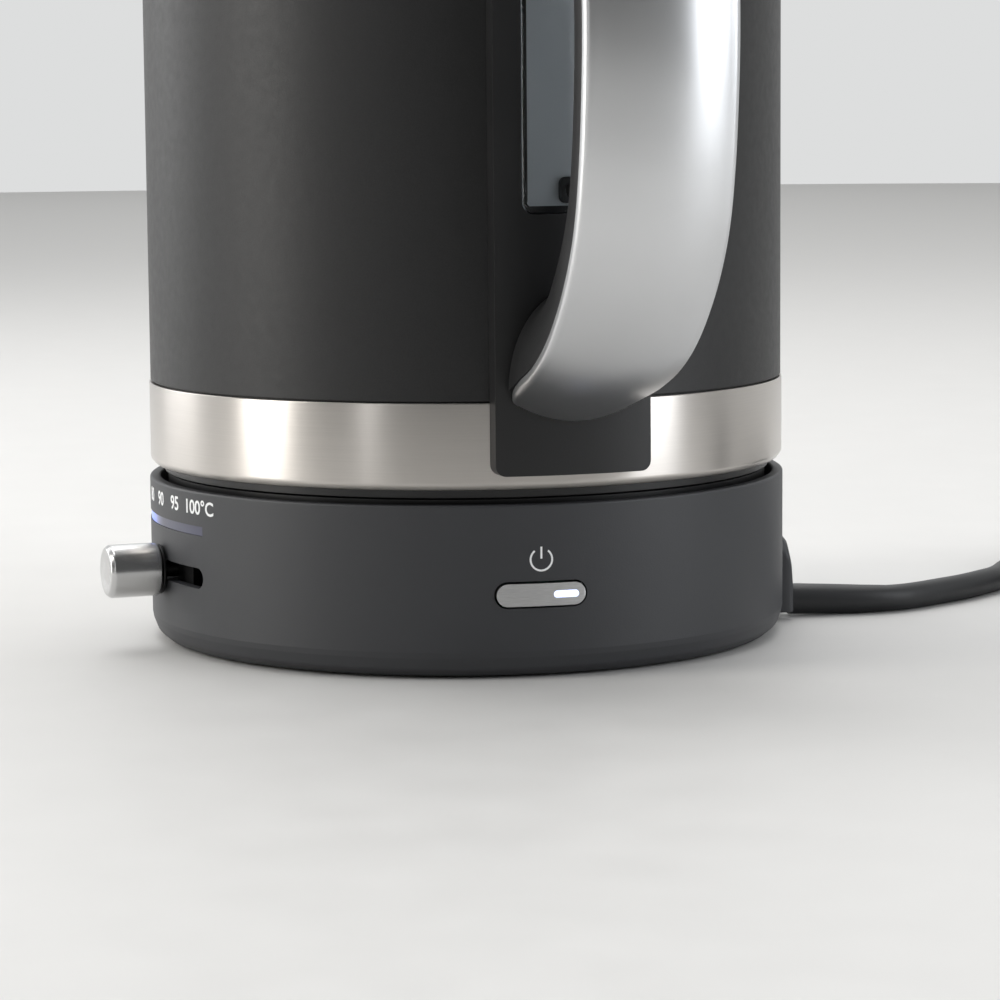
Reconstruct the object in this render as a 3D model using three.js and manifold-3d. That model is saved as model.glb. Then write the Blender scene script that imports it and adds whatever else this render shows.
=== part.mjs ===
// Electric kettle on a turn-anywhere power base, with a temperature slider and a power button in the base.
// Millimetres, +Z up. The origin is on the table under the kettle's axis, +X points to the handle and -X
// to the spout. The base is turned a little under the kettle, as one is when it is put down by hand.
import * as THREE from "three";
import { mergeVertices } from "three/addons/utils/BufferGeometryUtils.js";
import Module from "manifold-3d";

const wasm = await Module();
wasm.setup();

// ---- driving dimensions ----
const GAP = 0.3; // clearance between pieces that touch
const BASE_TURN = -5.3; // degrees, the base's front about the kettle's handle

const BASE_R = 80;
const BASE_FOOT_R = 77;
const BASE_CREASE_Z = 6.5; // the wall turns in below this line
const BASE_RIM_Z = 41;
const BASE_WALL = 2.6;
const DECK_Z = 36.4; // the floor of the recess that the kettle stands in
const DECK_T = 2.4;
const COVER_Z = 1.6; // underside of the bottom cover
const COVER_T = 2.4;
const HUB_Z = 0.6; // flat hub in the middle of the cover
const TOWER_R = 17;
const TOWER_TOP = 47.5;

const CONTROL_Z = 19.9; // height of the power button and of the slider slot
const BUTTON_W = 22.2;
const BUTTON_H = 6.3;
const SLOT_H = 5;
const SCALE_HALF = 25; // degrees, half the slot's and the light bar's sweep
const SLOT_END = 1.8; // degrees, the sweep that the slot's round end takes
const KNOB_ANGLE = -82.4; // degrees in the base's frame: the 90 degree mark
const KNOB_Z = CONTROL_Z - 0.2;
const KNOB_R = 6.55;
const STEM_R = 2.1;
const LIGHT_Z = [30.3, 32.6];
const CORD_ANGLE = 87.3; // degrees in the base's frame

const BAND_R = 79.7;
const BAND_Z = [44.3, 64.6];
const WALL_R = 79.4;
const WALL_T = 0.8; // the outer wall and the vessel are both of this sheet
const SHOULDER_Z = 172; // the wall is straight up to here
const NECK_R = 70.5;
const NECK_Z = 220;
const SKIRT_R = 76.2;
const SKIRT_Z = 37;
const BAND_SEAT_R = 78.3; // the wall is pressed in by this much behind the band
const VESSEL_GAP = 1.1; // air gap between the double walls
const COLLAR_TOP = 229;
const MOUTH_R = 61;
const LID_R = 65;
const LID_TOP = 247;
const HINGE = { x: 74, z: 234, pin: 1.5 };

const PLATE_R = 84;
const PLATE_W = 38;
const PLATE_Z = [48, 247];
const WINDOW_W = 24.6;
const WINDOW_Z = [108.2, 200];
const PORT_Z = [113.3, 194];

const SHELL_HALF = 17.65; // half the handle shell's width
const SHELL_SIDE = 2.2;
const SHELL_T = 2.2;
const SHELL_CROWN = 4.8;

const CORD_D = 6.8;
const COIL = { x: -24.9, y: 217.9, r: 37 };

// ---- materials ----
function material(color, roughness, metalness, opacity = 1) {
  return new THREE.MeshStandardMaterial({
    color,
    roughness,
    metalness,
    opacity,
    transparent: opacity < 1,
  });
}
const GREY_PLASTIC = ["#3a3a3d", 0.55, 0];
const BLACK_PLASTIC = ["#1b1b1c", 0.45, 0];
const BLACK_COAT = ["#29292b", 0.6, 0.1];
const BRUSHED_STEEL = ["#bdb9b4", 0.3, 1];
const STEEL = ["#c4c4c2", 0.25, 1];
const SATIN_ALUMINIUM = ["#c2c3c4", 0.4, 1];
const RUBBER = ["#202020", 0.8, 0];
const CLEAR = ["#d5d9dc", 0.08, 0, 0.4];
const LIGHT_PIPE = ["#c8d4ff", 0.3, 0, 0.8];
const BOARD = ["#1f5a3a", 0.5, 0];

// ---- solids ----
const rad = THREE.MathUtils.degToRad;

// A closed three.js geometry as a manifold-3d solid, turned the right way out if its faces point in.
function solid(geometry) {
  const bare = geometry.index ? geometry.toNonIndexed() : geometry.clone();
  bare.deleteAttribute("normal");
  bare.deleteAttribute("uv");
  const merged = mergeVertices(bare, 1e-4);
  const vertProperties = merged.attributes.position.array;
  const triVerts = new Uint32Array(merged.index.array);
  const made = new wasm.Manifold(new wasm.Mesh({ numProp: 3, vertProperties, triVerts }));
  if (made.volume() > 0) return made;
  return new wasm.Manifold(new wasm.Mesh({ numProp: 3, vertProperties, triVerts: triVerts.reverse() }));
}

// A manifold-3d solid as a three.js geometry.
function geometryOf(made) {
  const mesh = made.getMesh();
  const geometry = new THREE.BufferGeometry();
  geometry.setAttribute(
    "position",
    new THREE.BufferAttribute(new Float32Array(mesh.vertProperties), 3),
  );
  geometry.setIndex(new THREE.BufferAttribute(new Uint32Array(mesh.triVerts), 1));
  geometry.computeVertexNormals();
  return geometry;
}

function cut(from, ...tools) {
  return tools.reduce((left, tool) => left.subtract(tool), from);
}

function join(first, ...others) {
  return others.reduce((sum, other) => sum.add(other), first);
}

// A profile of [radius, z] points, listed with the material on its left, turned about Z.
function turned(profile, segments = 36) {
  const points = profile.map(([r, z]) => new THREE.Vector2(r, z));
  if (profile[0][0] > 0) points.push(points[0].clone());
  return solid(new THREE.LatheGeometry(points, segments).rotateX(Math.PI / 2));
}

function disc(radius, z0, z1, segments = 24) {
  return turned([[0, z0], [radius, z0], [radius, z1], [0, z1]], segments);
}

function tube(inner, outer, z0, z1, segments = 24) {
  return turned([[inner, z0], [outer, z0], [outer, z1], [inner, z1]], segments);
}

function box(x0, x1, y0, y1, z0, z1) {
  const made = new THREE.BoxGeometry(x1 - x0, y1 - y0, z1 - z0);
  return solid(made.translate((x0 + x1) / 2, (y0 + y1) / 2, (z0 + z1) / 2));
}

function extruded(shape, depth, curveSegments = 4) {
  return new THREE.ExtrudeGeometry(shape, { depth, bevelEnabled: false, curveSegments });
}

// A piece of a ring between two angles in degrees.
function sector(inner, outer, z0, z1, from, to, curveSegments = 12) {
  const shape = new THREE.Shape();
  shape.absarc(0, 0, outer, rad(from), rad(to), false);
  shape.absarc(0, 0, inner, rad(to), rad(from), true);
  shape.closePath();
  return solid(extruded(shape, z1 - z0, curveSegments).translate(0, 0, z0));
}

// A rectangle with rounded corners about the origin.
function roundedRectangle(width, height, radius) {
  const x = width / 2;
  const y = height / 2;
  const shape = new THREE.Shape();
  shape.absarc(x - radius, y - radius, radius, 0, Math.PI / 2, false);
  shape.absarc(-x + radius, y - radius, radius, Math.PI / 2, Math.PI, false);
  shape.absarc(-x + radius, -y + radius, radius, Math.PI, 1.5 * Math.PI, false);
  shape.absarc(x - radius, -y + radius, radius, 1.5 * Math.PI, 2 * Math.PI, false);
  shape.closePath();
  return shape;
}

// Stands a shape upright, its width along the wall and its height along Z, and carries it out along a radius.
function radialPrism(shape, angle, z, r0, r1, curveSegments = 4) {
  const out = new THREE.Vector3(Math.cos(rad(angle)), Math.sin(rad(angle)), 0);
  const side = new THREE.Vector3(-out.y, out.x, 0);
  const place = new THREE.Matrix4().makeBasis(side, new THREE.Vector3(0, 0, 1), out);
  place.setPosition(out.x * r0, out.y * r0, z);
  return solid(extruded(shape, r1 - r0, curveSegments).applyMatrix4(place));
}

function radialRod(radius, angle, z, r0, r1, segments = 12) {
  const place = new THREE.Matrix4().makeRotationZ(rad(angle));
  const rod = new THREE.CylinderGeometry(radius, radius, r1 - r0, segments);
  rod.rotateZ(-Math.PI / 2).translate((r0 + r1) / 2, 0, z).applyMatrix4(place);
  return solid(rod);
}

// A block of cells whose corners are placed by a function of three numbers from 0 to 1.
function mapped(cells, place) {
  const block = new THREE.BoxGeometry(1, 1, 1, ...cells);
  const position = block.attributes.position;
  for (let i = 0; i < position.count; i += 1) {
    const [u, v, w] = [position.getX(i), position.getY(i), position.getZ(i)].map((c) => c + 0.5);
    position.setXYZ(i, ...place(u, v, w));
  }
  return solid(block);
}

function arcPoints(x, z, radius, from, to, steps) {
  return Array.from({ length: steps + 1 }, (_, i) => {
    const a = rad(from + ((to - from) * i) / steps);
    return [x + radius * Math.cos(a), z + radius * Math.sin(a)];
  });
}

function mesh(name, made, [color, roughness, metalness, opacity]) {
  const piece = new THREE.Mesh(geometryOf(made), material(color, roughness, metalness, opacity));
  piece.name = name;
  return piece;
}

// ---- power base, in the base's own frame: +X to the power button, -Y to the temperature scale ----
const DECK_UNDER = DECK_Z - DECK_T;
const BASE_INNER_R = BASE_R - BASE_WALL;
const RIM_INNER_R = 77.2;
const RIM_EDGE = 0.6; // the arc on the rim's outer edge
const BOSS_ANGLES = [45, 165, 285];
const BOSS_RING_R = 62;
const FOOT_ANGLES = [0, 90, 180, 270];
const FOOT_RING_R = 60;
const SCREW_R = 1.5;

function baseWallProfile() {
  return [
    [BASE_FOOT_R - BASE_WALL, 0.7],
    [BASE_FOOT_R, 0.7],
    [78.6, 2.6],
    [79.5, 4.6],
    [BASE_R, BASE_CREASE_Z],
    ...arcPoints(BASE_R - RIM_EDGE, BASE_RIM_Z - RIM_EDGE, RIM_EDGE, 0, 90, 3),
    [RIM_INNER_R + 0.5, BASE_RIM_Z],
    [RIM_INNER_R, BASE_RIM_Z - 0.5],
    [RIM_INNER_R, DECK_Z],
    [TOWER_R + 0.5, DECK_Z],
    [TOWER_R + 0.5, DECK_UNDER],
    [BASE_INNER_R, DECK_UNDER],
    [BASE_INNER_R, BASE_CREASE_Z],
  ];
}

function at(ring, angle, z) {
  return [ring * Math.cos(rad(angle)), ring * Math.sin(rad(angle)), z];
}

function baseHousing() {
  const bosses = BOSS_ANGLES.map((a) =>
    disc(4, COVER_Z + COVER_T + GAP, DECK_UNDER + 1, 12).translate(at(BOSS_RING_R, a, 0)),
  );
  const pilots = BOSS_ANGLES.map((a) =>
    disc(SCREW_R + GAP, 0, 18, 12).translate(at(BOSS_RING_R, a, 0)),
  );
  const half = SCALE_HALF - SLOT_END;
  const slot = sector(70, 90, CONTROL_Z - SLOT_H / 2, CONTROL_Z + SLOT_H / 2, -90 - half, -90 + half);
  const slotEnds = [-half, half].map((a) => radialRod(SLOT_H / 2, -90 + a, CONTROL_Z, 70, 90, 16));
  const lightWindow = sector(70, 90, ...LIGHT_Z, -90 - SCALE_HALF, -90 + SCALE_HALF);
  const buttonHole = radialPrism(
    roundedRectangle(BUTTON_W, BUTTON_H, BUTTON_H / 2 - 0.01), 0, CONTROL_Z, 70, 90);
  const cordHole = radialRod(CORD_D / 2 + 2.4, CORD_ANGLE, 9, 70, 90, 16);
  const shell = join(turned(baseWallProfile()), ...bosses);
  return cut(shell, ...pilots, slot, ...slotEnds, lightWindow, buttonHole, cordHole);
}

function bottomCover() {
  const r = BASE_FOOT_R - BASE_WALL - GAP;
  const top = COVER_Z + COVER_T;
  const plate = turned([[0, HUB_Z], [14, HUB_Z], [14, COVER_Z], [r, COVER_Z], [r, top], [0, top]]);
  const recesses = FOOT_ANGLES.map((a) =>
    disc(6 + GAP, 0, COVER_Z + 1, 16).translate(at(FOOT_RING_R, a, 0)),
  );
  const holes = BOSS_ANGLES.flatMap((a) => [
    disc(SCREW_R + GAP, 0, 9, 12).translate(at(BOSS_RING_R, a, 0)),
    disc(3 + GAP, 0, COVER_Z + 1.2, 12).translate(at(BOSS_RING_R, a, 0)),
  ]);
  return cut(plate, ...recesses, ...holes);
}

function baseScrew() {
  return join(disc(3, COVER_Z + 0.1, COVER_Z + 0.9, 12), disc(SCREW_R, COVER_Z + 0.1, 16, 12));
}

// The central plug that the kettle turns on: a ring groove and a middle hole hold the contacts.
function baseConnector() {
  const body = turned([
    [0, 24], [21, 24], [21, DECK_UNDER - GAP], [TOWER_R, DECK_UNDER - GAP], [TOWER_R, TOWER_TOP - 1],
    [TOWER_R - 1, TOWER_TOP], [0, TOWER_TOP],
  ], 24);
  return cut(body, tube(8, 11, 36, TOWER_TOP + 1, 24), disc(3.2, 36, TOWER_TOP + 1, 12));
}

const BOARD_Z = 9;

function controlBoard() {
  return join(
    box(6, 58, -26, 26, BOARD_Z, BOARD_Z + 1.6),
    box(12, 31, -20, -4, BOARD_Z + 1, 22),
    box(12, 22, 6, 20, BOARD_Z + 1, 19),
    box(34, 42, -12, -2, BOARD_Z + 1, 13),
    box(36, 52, 8, 16, BOARD_Z + 1, 14),
  );
}

// A small push switch on an upright card behind the power button.
function powerSwitch() {
  return join(
    box(66, 67.6, -9, 9, BOARD_Z - 4.5, 27),
    box(67, 70.2, -3, 3, CONTROL_Z - 3, CONTROL_Z + 3),
    radialRod(1.6, 0, CONTROL_Z, 70, 72, 12),
  );
}

function sliderTrack() {
  return sector(66, 68, 12, 27.5, -90 - 32, -90 + 32, 12);
}

function lightBar() {
  const half = SCALE_HALF - 0.22;
  return sector(75.5, BASE_R - 0.2, LIGHT_Z[0] + GAP, LIGHT_Z[1] - GAP, -90 - half, -90 + half, 12);
}

// The knob's stem with its collar outside the wall, in the base's frame.
function sliderStem() {
  return join(
    radialRod(STEM_R, KNOB_ANGLE, KNOB_Z, 74, 84.5, 12),
    radialRod(KNOB_R - 0.35, KNOB_ANGLE, KNOB_Z, 80.4, 81.2, 24),
  );
}

function sliderKnob() {
  const body = join(
    radialRod(KNOB_R, KNOB_ANGLE, KNOB_Z, 81.5, 93.5, 28),
    radialRod(KNOB_R - 0.6, KNOB_ANGLE, KNOB_Z, 93, 94.4, 28),
  );
  return cut(body, radialRod(STEM_R + GAP, KNOB_ANGLE, KNOB_Z, 81, 85, 12));
}

// The runner that carries the stem along the inside of the wall and hides the slot.
function sliderCarriage() {
  const runner = sector(72.6, 76.4, 13.5, 26.5, KNOB_ANGLE - 9, KNOB_ANGLE + 9, 6);
  const wiper = sector(68.4, 73, 18, 22, KNOB_ANGLE - 2, KNOB_ANGLE + 2, 2);
  return cut(join(runner, wiper), radialRod(STEM_R + GAP, KNOB_ANGLE, KNOB_Z, 73.6, 80, 12));
}

const LED_SIDE = 5.9; // the light window's distance from the middle of the button
const LED_W = 6;
const LED_H = 1.6;

function powerButton() {
  const outline = roundedRectangle(BUTTON_W - 1, BUTTON_H - 1, BUTTON_H / 2 - 0.51);
  const hole = roundedRectangle(LED_W + 2 * GAP, LED_H + 2 * GAP, LED_H / 2 + GAP - 0.01);
  const cap = radialPrism(outline, 0, CONTROL_Z, 75.5, 82);
  const face = disc(BASE_R + 0.4, 0, 40, 96);
  const ledHole = radialPrism(hole, 0, CONTROL_Z, 70, 90).translate([0, LED_SIDE, 0]);
  const springSeat = box(70, 77.5, -3.4, 3.2, 0, 40);
  const plunger = radialRod(1.3, 0, CONTROL_Z, 73.4, 78, 12);
  return join(cut(cap.intersect(face), ledHole, springSeat), plunger);
}

function powerButtonLight() {
  const outline = roundedRectangle(LED_W, LED_H, LED_H / 2 - 0.01);
  return radialPrism(outline, 0, CONTROL_Z, 75, 79.9).translate([0, LED_SIDE, 0]);
}

function powerButtonSpring() {
  const place = new THREE.Matrix4().makeRotationY(Math.PI / 2).setPosition(0, 0, CONTROL_Z);
  return tube(1.9, 2.7, 70.6, 76, 12).transform(place.elements);
}

// The cord's boss low on the back of the wall, with a sloped, rounded top.
const EXIT_Z = 5.2;

function cordBoss() {
  const shape = new THREE.Shape();
  shape.moveTo(-8, -9);
  shape.lineTo(8, -9);
  shape.lineTo(8, 5);
  shape.absarc(2, 5, 6, 0, Math.PI / 2, false);
  shape.absarc(-2, 5, 6, Math.PI / 2, Math.PI, false);
  shape.closePath();
  const block = radialPrism(shape, CORD_ANGLE, 11, 76, 83.8);
  const keep = turned([[BASE_R + GAP, 1.8], [83.7, 1.8], [83.7, 12], [81.4, 22.5], [BASE_R + GAP, 22.5]]);
  const neck = radialRod(CORD_D / 2 + 2, CORD_ANGLE, 9, 75, 81, 16);
  const bore = radialRod(CORD_D / 2 + 1.1, CORD_ANGLE, EXIT_Z, 74, 90, 16);
  return cut(join(block.intersect(keep), neck), bore);
}

function cordClamp() {
  const place = new THREE.Matrix4().makeRotationZ(rad(CORD_ANGLE));
  return join(box(62, 70, -9, 9, 4.4, 13), box(64, 68, -13, 13, 4.4, 7)).transform(place.elements);
}

function makeBase() {
  const base = new THREE.Group();
  base.rotation.z = rad(BASE_TURN);
  base.add(
    mesh("base_housing", baseHousing(), GREY_PLASTIC),
    mesh("base_bottom_cover", bottomCover(), GREY_PLASTIC),
    mesh("base_connector", baseConnector(), BLACK_PLASTIC),
    mesh("control_board", controlBoard(), BOARD),
    mesh("power_switch", powerSwitch(), BOARD),
    mesh("slider_track", sliderTrack(), BOARD),
    mesh("light_bar", lightBar(), LIGHT_PIPE),
    mesh("cord_boss", cordBoss(), GREY_PLASTIC),
    mesh("cord_clamp", cordClamp(), BLACK_PLASTIC),
    mesh("slider_knob", sliderKnob(), SATIN_ALUMINIUM),
    mesh("slider_stem", sliderStem(), BLACK_PLASTIC),
    mesh("slider_carriage", sliderCarriage(), BLACK_PLASTIC),
    mesh("power_button", powerButton(), SATIN_ALUMINIUM),
    mesh("power_button_light", powerButtonLight(), LIGHT_PIPE),
    mesh("power_button_spring", powerButtonSpring(), STEEL),
  );
  FOOT_ANGLES.forEach((angle, i) => {
    const foot = mesh("foot_" + (i + 1), disc(6, 0, COVER_Z + 0.6, 16), RUBBER);
    foot.position.set(...at(FOOT_RING_R, angle, 0));
    base.add(foot);
  });
  BOSS_ANGLES.forEach((angle, i) => {
    const screw = mesh("base_screw_" + (i + 1), baseScrew(), STEEL);
    screw.position.set(...at(BOSS_RING_R, angle, 0));
    base.add(screw);
  });
  return base;
}

// ---- kettle body ----
// The outside of the wall from the shoulder to the neck: straight, then one smooth curve inward.
function shoulder(offset, steps = 5) {
  const rise = NECK_Z - SHOULDER_Z;
  const inset = WALL_R - NECK_R;
  return Array.from({ length: steps + 1 }, (_, i) => {
    const t = i / steps;
    return [WALL_R - inset * t * t + offset, SHOULDER_Z + rise * t];
  });
}

// Everything inside the body's outer surface, grown by a clearance.
function bodyEnvelope(grow) {
  return turned([
    [0, 40], [BAND_R + grow, 40], [BAND_R + grow, BAND_Z[1] + 0.3], [WALL_R + grow, BAND_Z[1] + 0.3],
    ...shoulder(grow), [NECK_R + grow, COLLAR_TOP + grow], [0, COLLAR_TOP + grow],
  ]);
}

// A tilted cone, for the outside of the spout and, smaller, for its channel.
function spoutCone(inset) {
  const cone = new THREE.CylinderGeometry(27 - inset, 3.4 - inset, 66, 24).rotateX(Math.PI / 2);
  const lean = new THREE.Matrix4().set(1, 0, 8 / 66, -72, 0, 1, 0, 0, 0, 0, 1, 199, 0, 0, 0, 1);
  return solid(cone.applyMatrix4(lean));
}

const SPOUT_T = 1.8;
const SPOUT_TOP = 229;

function spout() {
  const keep = box(-110, -40, -40, 40, 150, SPOUT_TOP);
  return cut(spoutCone(0).intersect(keep), spoutCone(SPOUT_T), bodyEnvelope(GAP));
}

// The channel that the spout's opening makes through the walls.
function spoutOpening() {
  return spoutCone(SPOUT_T + 0.6).intersect(box(-110, -50, -40, 40, 176, 240));
}

// A slotted panel inside the spout's opening that holds back limescale.
function spoutFilter() {
  const panel = box(-58.4, -57, -20, 20, 178, 213.4);
  const slots = [-14, -7, 0, 7, 14].map((y) => box(-60, -50, y - 2, y + 2, 182, 209));
  return cut(panel, ...slots);
}

function portHoles(radius) {
  return PORT_Z.map((z) => radialRod(radius, 0, z, 60, 90, 12));
}

function bodyWall() {
  const top = BAND_Z[1] + GAP;
  const seat = BAND_SEAT_R - WALL_T;
  const outer = [[BAND_SEAT_R, 50], [BAND_SEAT_R, top], [WALL_R, top], ...shoulder(0)];
  const step = top + WALL_T;
  const inner = [...shoulder(-WALL_T).reverse(), [WALL_R - WALL_T, step], [seat, step], [seat, 50]];
  return cut(turned([...outer, ...inner]), ...portHoles(3 + GAP), spoutOpening());
}

function steelBand() {
  const [low, high] = BAND_Z;
  return turned([
    [BAND_R - 2.2, low], ...arcPoints(BAND_R - 2.2, low + 2.2, 2.2, -60, 0, 3), [BAND_R, high],
    [BAND_SEAT_R + GAP, high], [BAND_SEAT_R + GAP, low + 2.4], [BAND_R - 2.2, low + 1],
  ]);
}

function bottomSkirt() {
  return turned([
    [20, SKIRT_Z], [SKIRT_R - 0.8, SKIRT_Z], [SKIRT_R - 0.8, 42], [SKIRT_R, 42.4], [SKIRT_R, 56],
    [SKIRT_R - 2, 56], [SKIRT_R - 2, SKIRT_Z + 2.2], [20, SKIRT_Z + 2.2],
  ]);
}

const FLOOR_Z = 58.4;
const VESSEL_R = 76.5;
const SENSOR_X = -28;

function innerVessel() {
  const inset = -WALL_T - VESSEL_GAP;
  const [outer, inner] = [0, WALL_T].map((t) => [
    ...arcPoints(VESSEL_R - 6, FLOOR_Z + 6, 6 - t, -90, 0, 3), [VESSEL_R - t, 150],
    ...shoulder(inset - t).slice(1),
  ]);
  const outside = [[0, FLOOR_Z], ...outer];
  const inside = [...inner.reverse(), [0, FLOOR_Z + WALL_T]];
  const sensorHole = disc(3 + GAP, 50, 70, 12).translate([SENSOR_X, 0, 0]);
  return cut(turned([...outside, ...inside]), ...portHoles(3 + GAP), spoutOpening(), sensorHole);
}

// The heating plate under the floor, with the round element cast along it.
function heaterPlate() {
  const top = FLOOR_Z - GAP;
  const plate = turned([
    [0, top - 4], [40, top - 4], [41, top - 8.5], [44, top - 9.5], [47, top - 8.5], [48, top - 4],
    [62, top - 4], [62, top], [0, top],
  ], 28);
  return cut(plate, disc(3 + GAP, 40, 70, 12).translate([SENSOR_X, 0, 0]));
}

function temperatureSensor() {
  const tip = disc(3, 48, FLOOR_Z + 5, 12);
  return join(tip, disc(5.5, 48, 52.5, 16)).translate([SENSOR_X, 0, 0]);
}

// The socket under the kettle, round so that the kettle can be put down at any angle.
function kettleConnector() {
  return turned([
    [TOWER_R + 0.5, SKIRT_Z - 0.2], [19.6, SKIRT_Z - 0.2], [19.6, 46], [21.8, 46], [21.8, 51], [0, 51],
    [0, 39.5], [1.6, 39.5], [1.6, 48.2], [8.7, 48.2], [8.7, 39.5], [10.3, 39.5], [10.3, 48.2],
    [TOWER_R + 0.5, 48.2],
  ], 24);
}

function rimCollar() {
  const ring = turned([
    [MOUTH_R, 214], [MOUTH_R + 5.6, 214], [MOUTH_R + 5.6, NECK_Z + GAP], [NECK_R, NECK_Z + GAP],
    [NECK_R, COLLAR_TOP - 2], [NECK_R - 2, COLLAR_TOP], [MOUTH_R, COLLAR_TOP],
  ]);
  const ears = [-1, 1].map((side) => box(67.5, 79, 10 * side - 2.5, 10 * side + 2.5, 226, HINGE.z + 5));
  const bridge = box(66, 79, -12.5, 12.5, 222, 228.6);
  const pinHole = pinRod(HINGE.pin + GAP, 20);
  const knuckleRoom = cylinderY(5, HINGE.x, HINGE.z, 7.3);
  const latchSlot = box(55, 82, -6 - GAP, 6 + GAP, 222.6 - GAP, 225.2 + GAP);
  const wall = join(ring, ...ears, bridge);
  return cut(wall, pinHole, knuckleRoom, spoutOpening(), latchSlot);
}

function cylinderY(radius, x, z, half, segments = 20) {
  return solid(new THREE.CylinderGeometry(radius, radius, 2 * half, segments).translate(x, 0, z));
}

function pinRod(radius, half) {
  return cylinderY(radius, HINGE.x, HINGE.z, half, 12);
}

function springRing() {
  return tube(HINGE.pin + GAP, 3.4, 5.6, 7.2, 12).rotate([-90, 0, 0]).translate([HINGE.x, 0, HINGE.z]);
}

// ---- lid ----
function lidCover() {
  const low = COLLAR_TOP + GAP;
  const dome = turned([
    [60, low], [LID_R, low], [LID_R, low + 3.5], [63.5, low + 5.5], [57, low + 9], [48, low + 12.5],
    [36, low + 15.3], [20, low + 17.2], [0, LID_TOP], [0, LID_TOP - 1.2], [20, low + 16],
    [36, low + 14.1], [47.6, low + 11.4], [56.4, low + 7.9], [61, low + 5.4], [61, low + 1.4],
    [60, low + 1.4],
  ]);
  const arm = box(58, HINGE.x, -6, 5, low + 1, low + 5.5);
  const knuckle = cylinderY(4, HINGE.x, HINGE.z, 6).intersect(box(60, 90, -6, 5, 220, 250));
  return cut(join(dome, arm, knuckle), pinRod(HINGE.pin + GAP, 20));
}

function lidLiner() {
  const top = COLLAR_TOP + 3;
  return turned([
    [0, 217], [50, 217], [57.6, 219], [57.6, 223], [56.4, 223], [56.4, 226], [57.6, 226], [57.6, top],
    [54.6, top], [54.6, 221], [48, 219.4], [0, 219.4],
  ], 28);
}

function lidSeal() {
  return turned([[56.7, 223.3], [59.6, 224], [59.6, 225], [56.7, 225.7]], 28);
}

// ---- handle ----
// The handle's side view: the edge of the shell and, across the grip from it, the grip's inner line. Both
// start at the plate below, swing out and come back to the plate above.
const EDGE = [
  [84.6, 65.3], [89.4, 67], [94.8, 69], [104.5, 73], [113.9, 78.9], [122.1, 86.7], [129.1, 96],
  [134.2, 106.4], [137.3, 118.8], [139, 131.8], [139.9, 145], [139.8, 158.4], [138.9, 172], [137, 185.4],
  [133.6, 198.6], [128.2, 211.4], [119.6, 223], [106.6, 231.4], [95, 236.2], [84.6, 238.6],
];
const INNER = [
  [84.6, 91.2], [87.4, 91], [90.8, 91.8], [95, 94], [99.6, 97.9], [103.4, 103.3], [107, 109.4],
  [109.8, 115.6], [111.6, 123.8], [112.7, 134.4], [113.3, 145.8], [113.2, 157.4], [112.6, 169.3],
  [111.5, 180.3], [109.5, 190.4], [106.8, 199.2], [102.8, 205.8], [96.4, 210.6], [90.2, 212.6],
  [84.6, 212.6],
];
const STEPS = EDGE.length - 1;

function handleFrame(u) {
  const i = Math.round(u * STEPS);
  const [ex, ez] = EDGE[i];
  const [gx, gz] = INNER[i];
  const reach = Math.hypot(ex - gx, ez - gz);
  return { ex, ez, nx: (ex - gx) / reach, nz: (ez - gz) / reach, reach };
}

// A point of the handle: h above the shell's edge line, y to the side.
function handlePoint(u, y, h) {
  const { ex, ez, nx, nz } = handleFrame(u);
  return [Math.max(ex + nx * h, PLATE_R + 0.5), y, ez + nz * h];
}

// Half the shell's width: it narrows a little where the handle meets the plate.
function shellHalf(u) {
  const close = Math.max(0, 1 - (handleFrame(u).ex - EDGE[0][0]) / 12);
  return SHELL_HALF - 1.85 * close ** 2;
}

function crown(y, half) {
  return SHELL_CROWN * (1 - (y / half) ** 2);
}

function shellSection(u) {
  const w = shellHalf(u);
  const v = w - SHELL_T;
  const rows = [-0.86, -0.45, 0, 0.45, 0.86];
  const across = (half, drop) => rows.map((k) => [k * half, crown(k * w, w) - drop]);
  const outer = [[-w, -SHELL_SIDE], [-w, -0.6], ...across(w, 0), [w, -0.6], [w, -SHELL_SIDE]];
  const inner = [[-v, -SHELL_SIDE], [-v, -1.7], ...across(v, SHELL_T), [v, -1.7], [v, -SHELL_SIDE]];
  return [outer, inner];
}

// The button's well in the top of the handle, wider than the cap by a clearance on each side.
const CAP = { x: 108, length: 15.6, width: 11.6, low: 229, travel: 3 };
const LATCH_Z = [222.6, 225.2];

function buttonPrism(grow, low) {
  const shape = roundedRectangle(CAP.length + 2 * grow, CAP.width + 2 * grow, 4.5 + grow);
  return solid(extruded(shape, 30, 3).translate(CAP.x, 0, low));
}

function shellBlock(section) {
  return mapped([STEPS, 8, 1], (u, v, w) => {
    const [y, h] = section(u)[w > 0.5 ? 1 : 0][Math.round(v * 8)];
    return handlePoint(u, y, h);
  });
}

function handleShell() {
  return cut(shellBlock(shellSection), buttonPrism(2 * GAP, 215));
}

// The grip's section: its top lies under the shell, and below the shell's edge it is half an ellipse.
function gripSection(u) {
  const half = shellHalf(u);
  const low = SHELL_SIDE + 4 * GAP;
  const { reach } = handleFrame(u);
  const rows = [-1, -0.94, -0.7, -0.35, 0, 0.35, 0.7, 0.94, 1];
  const top = rows.map((k) => [k * (half - SHELL_T - GAP), crown(k * half, half) - SHELL_T - 3 * GAP]);
  const bottom = rows.map((k) => [k * (half - 0.6), -low - (reach - low) * Math.sqrt(1 - k * k)]);
  return [top, bottom];
}

const HANDLE_SCREW_Z = [76, 217.5];

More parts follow.
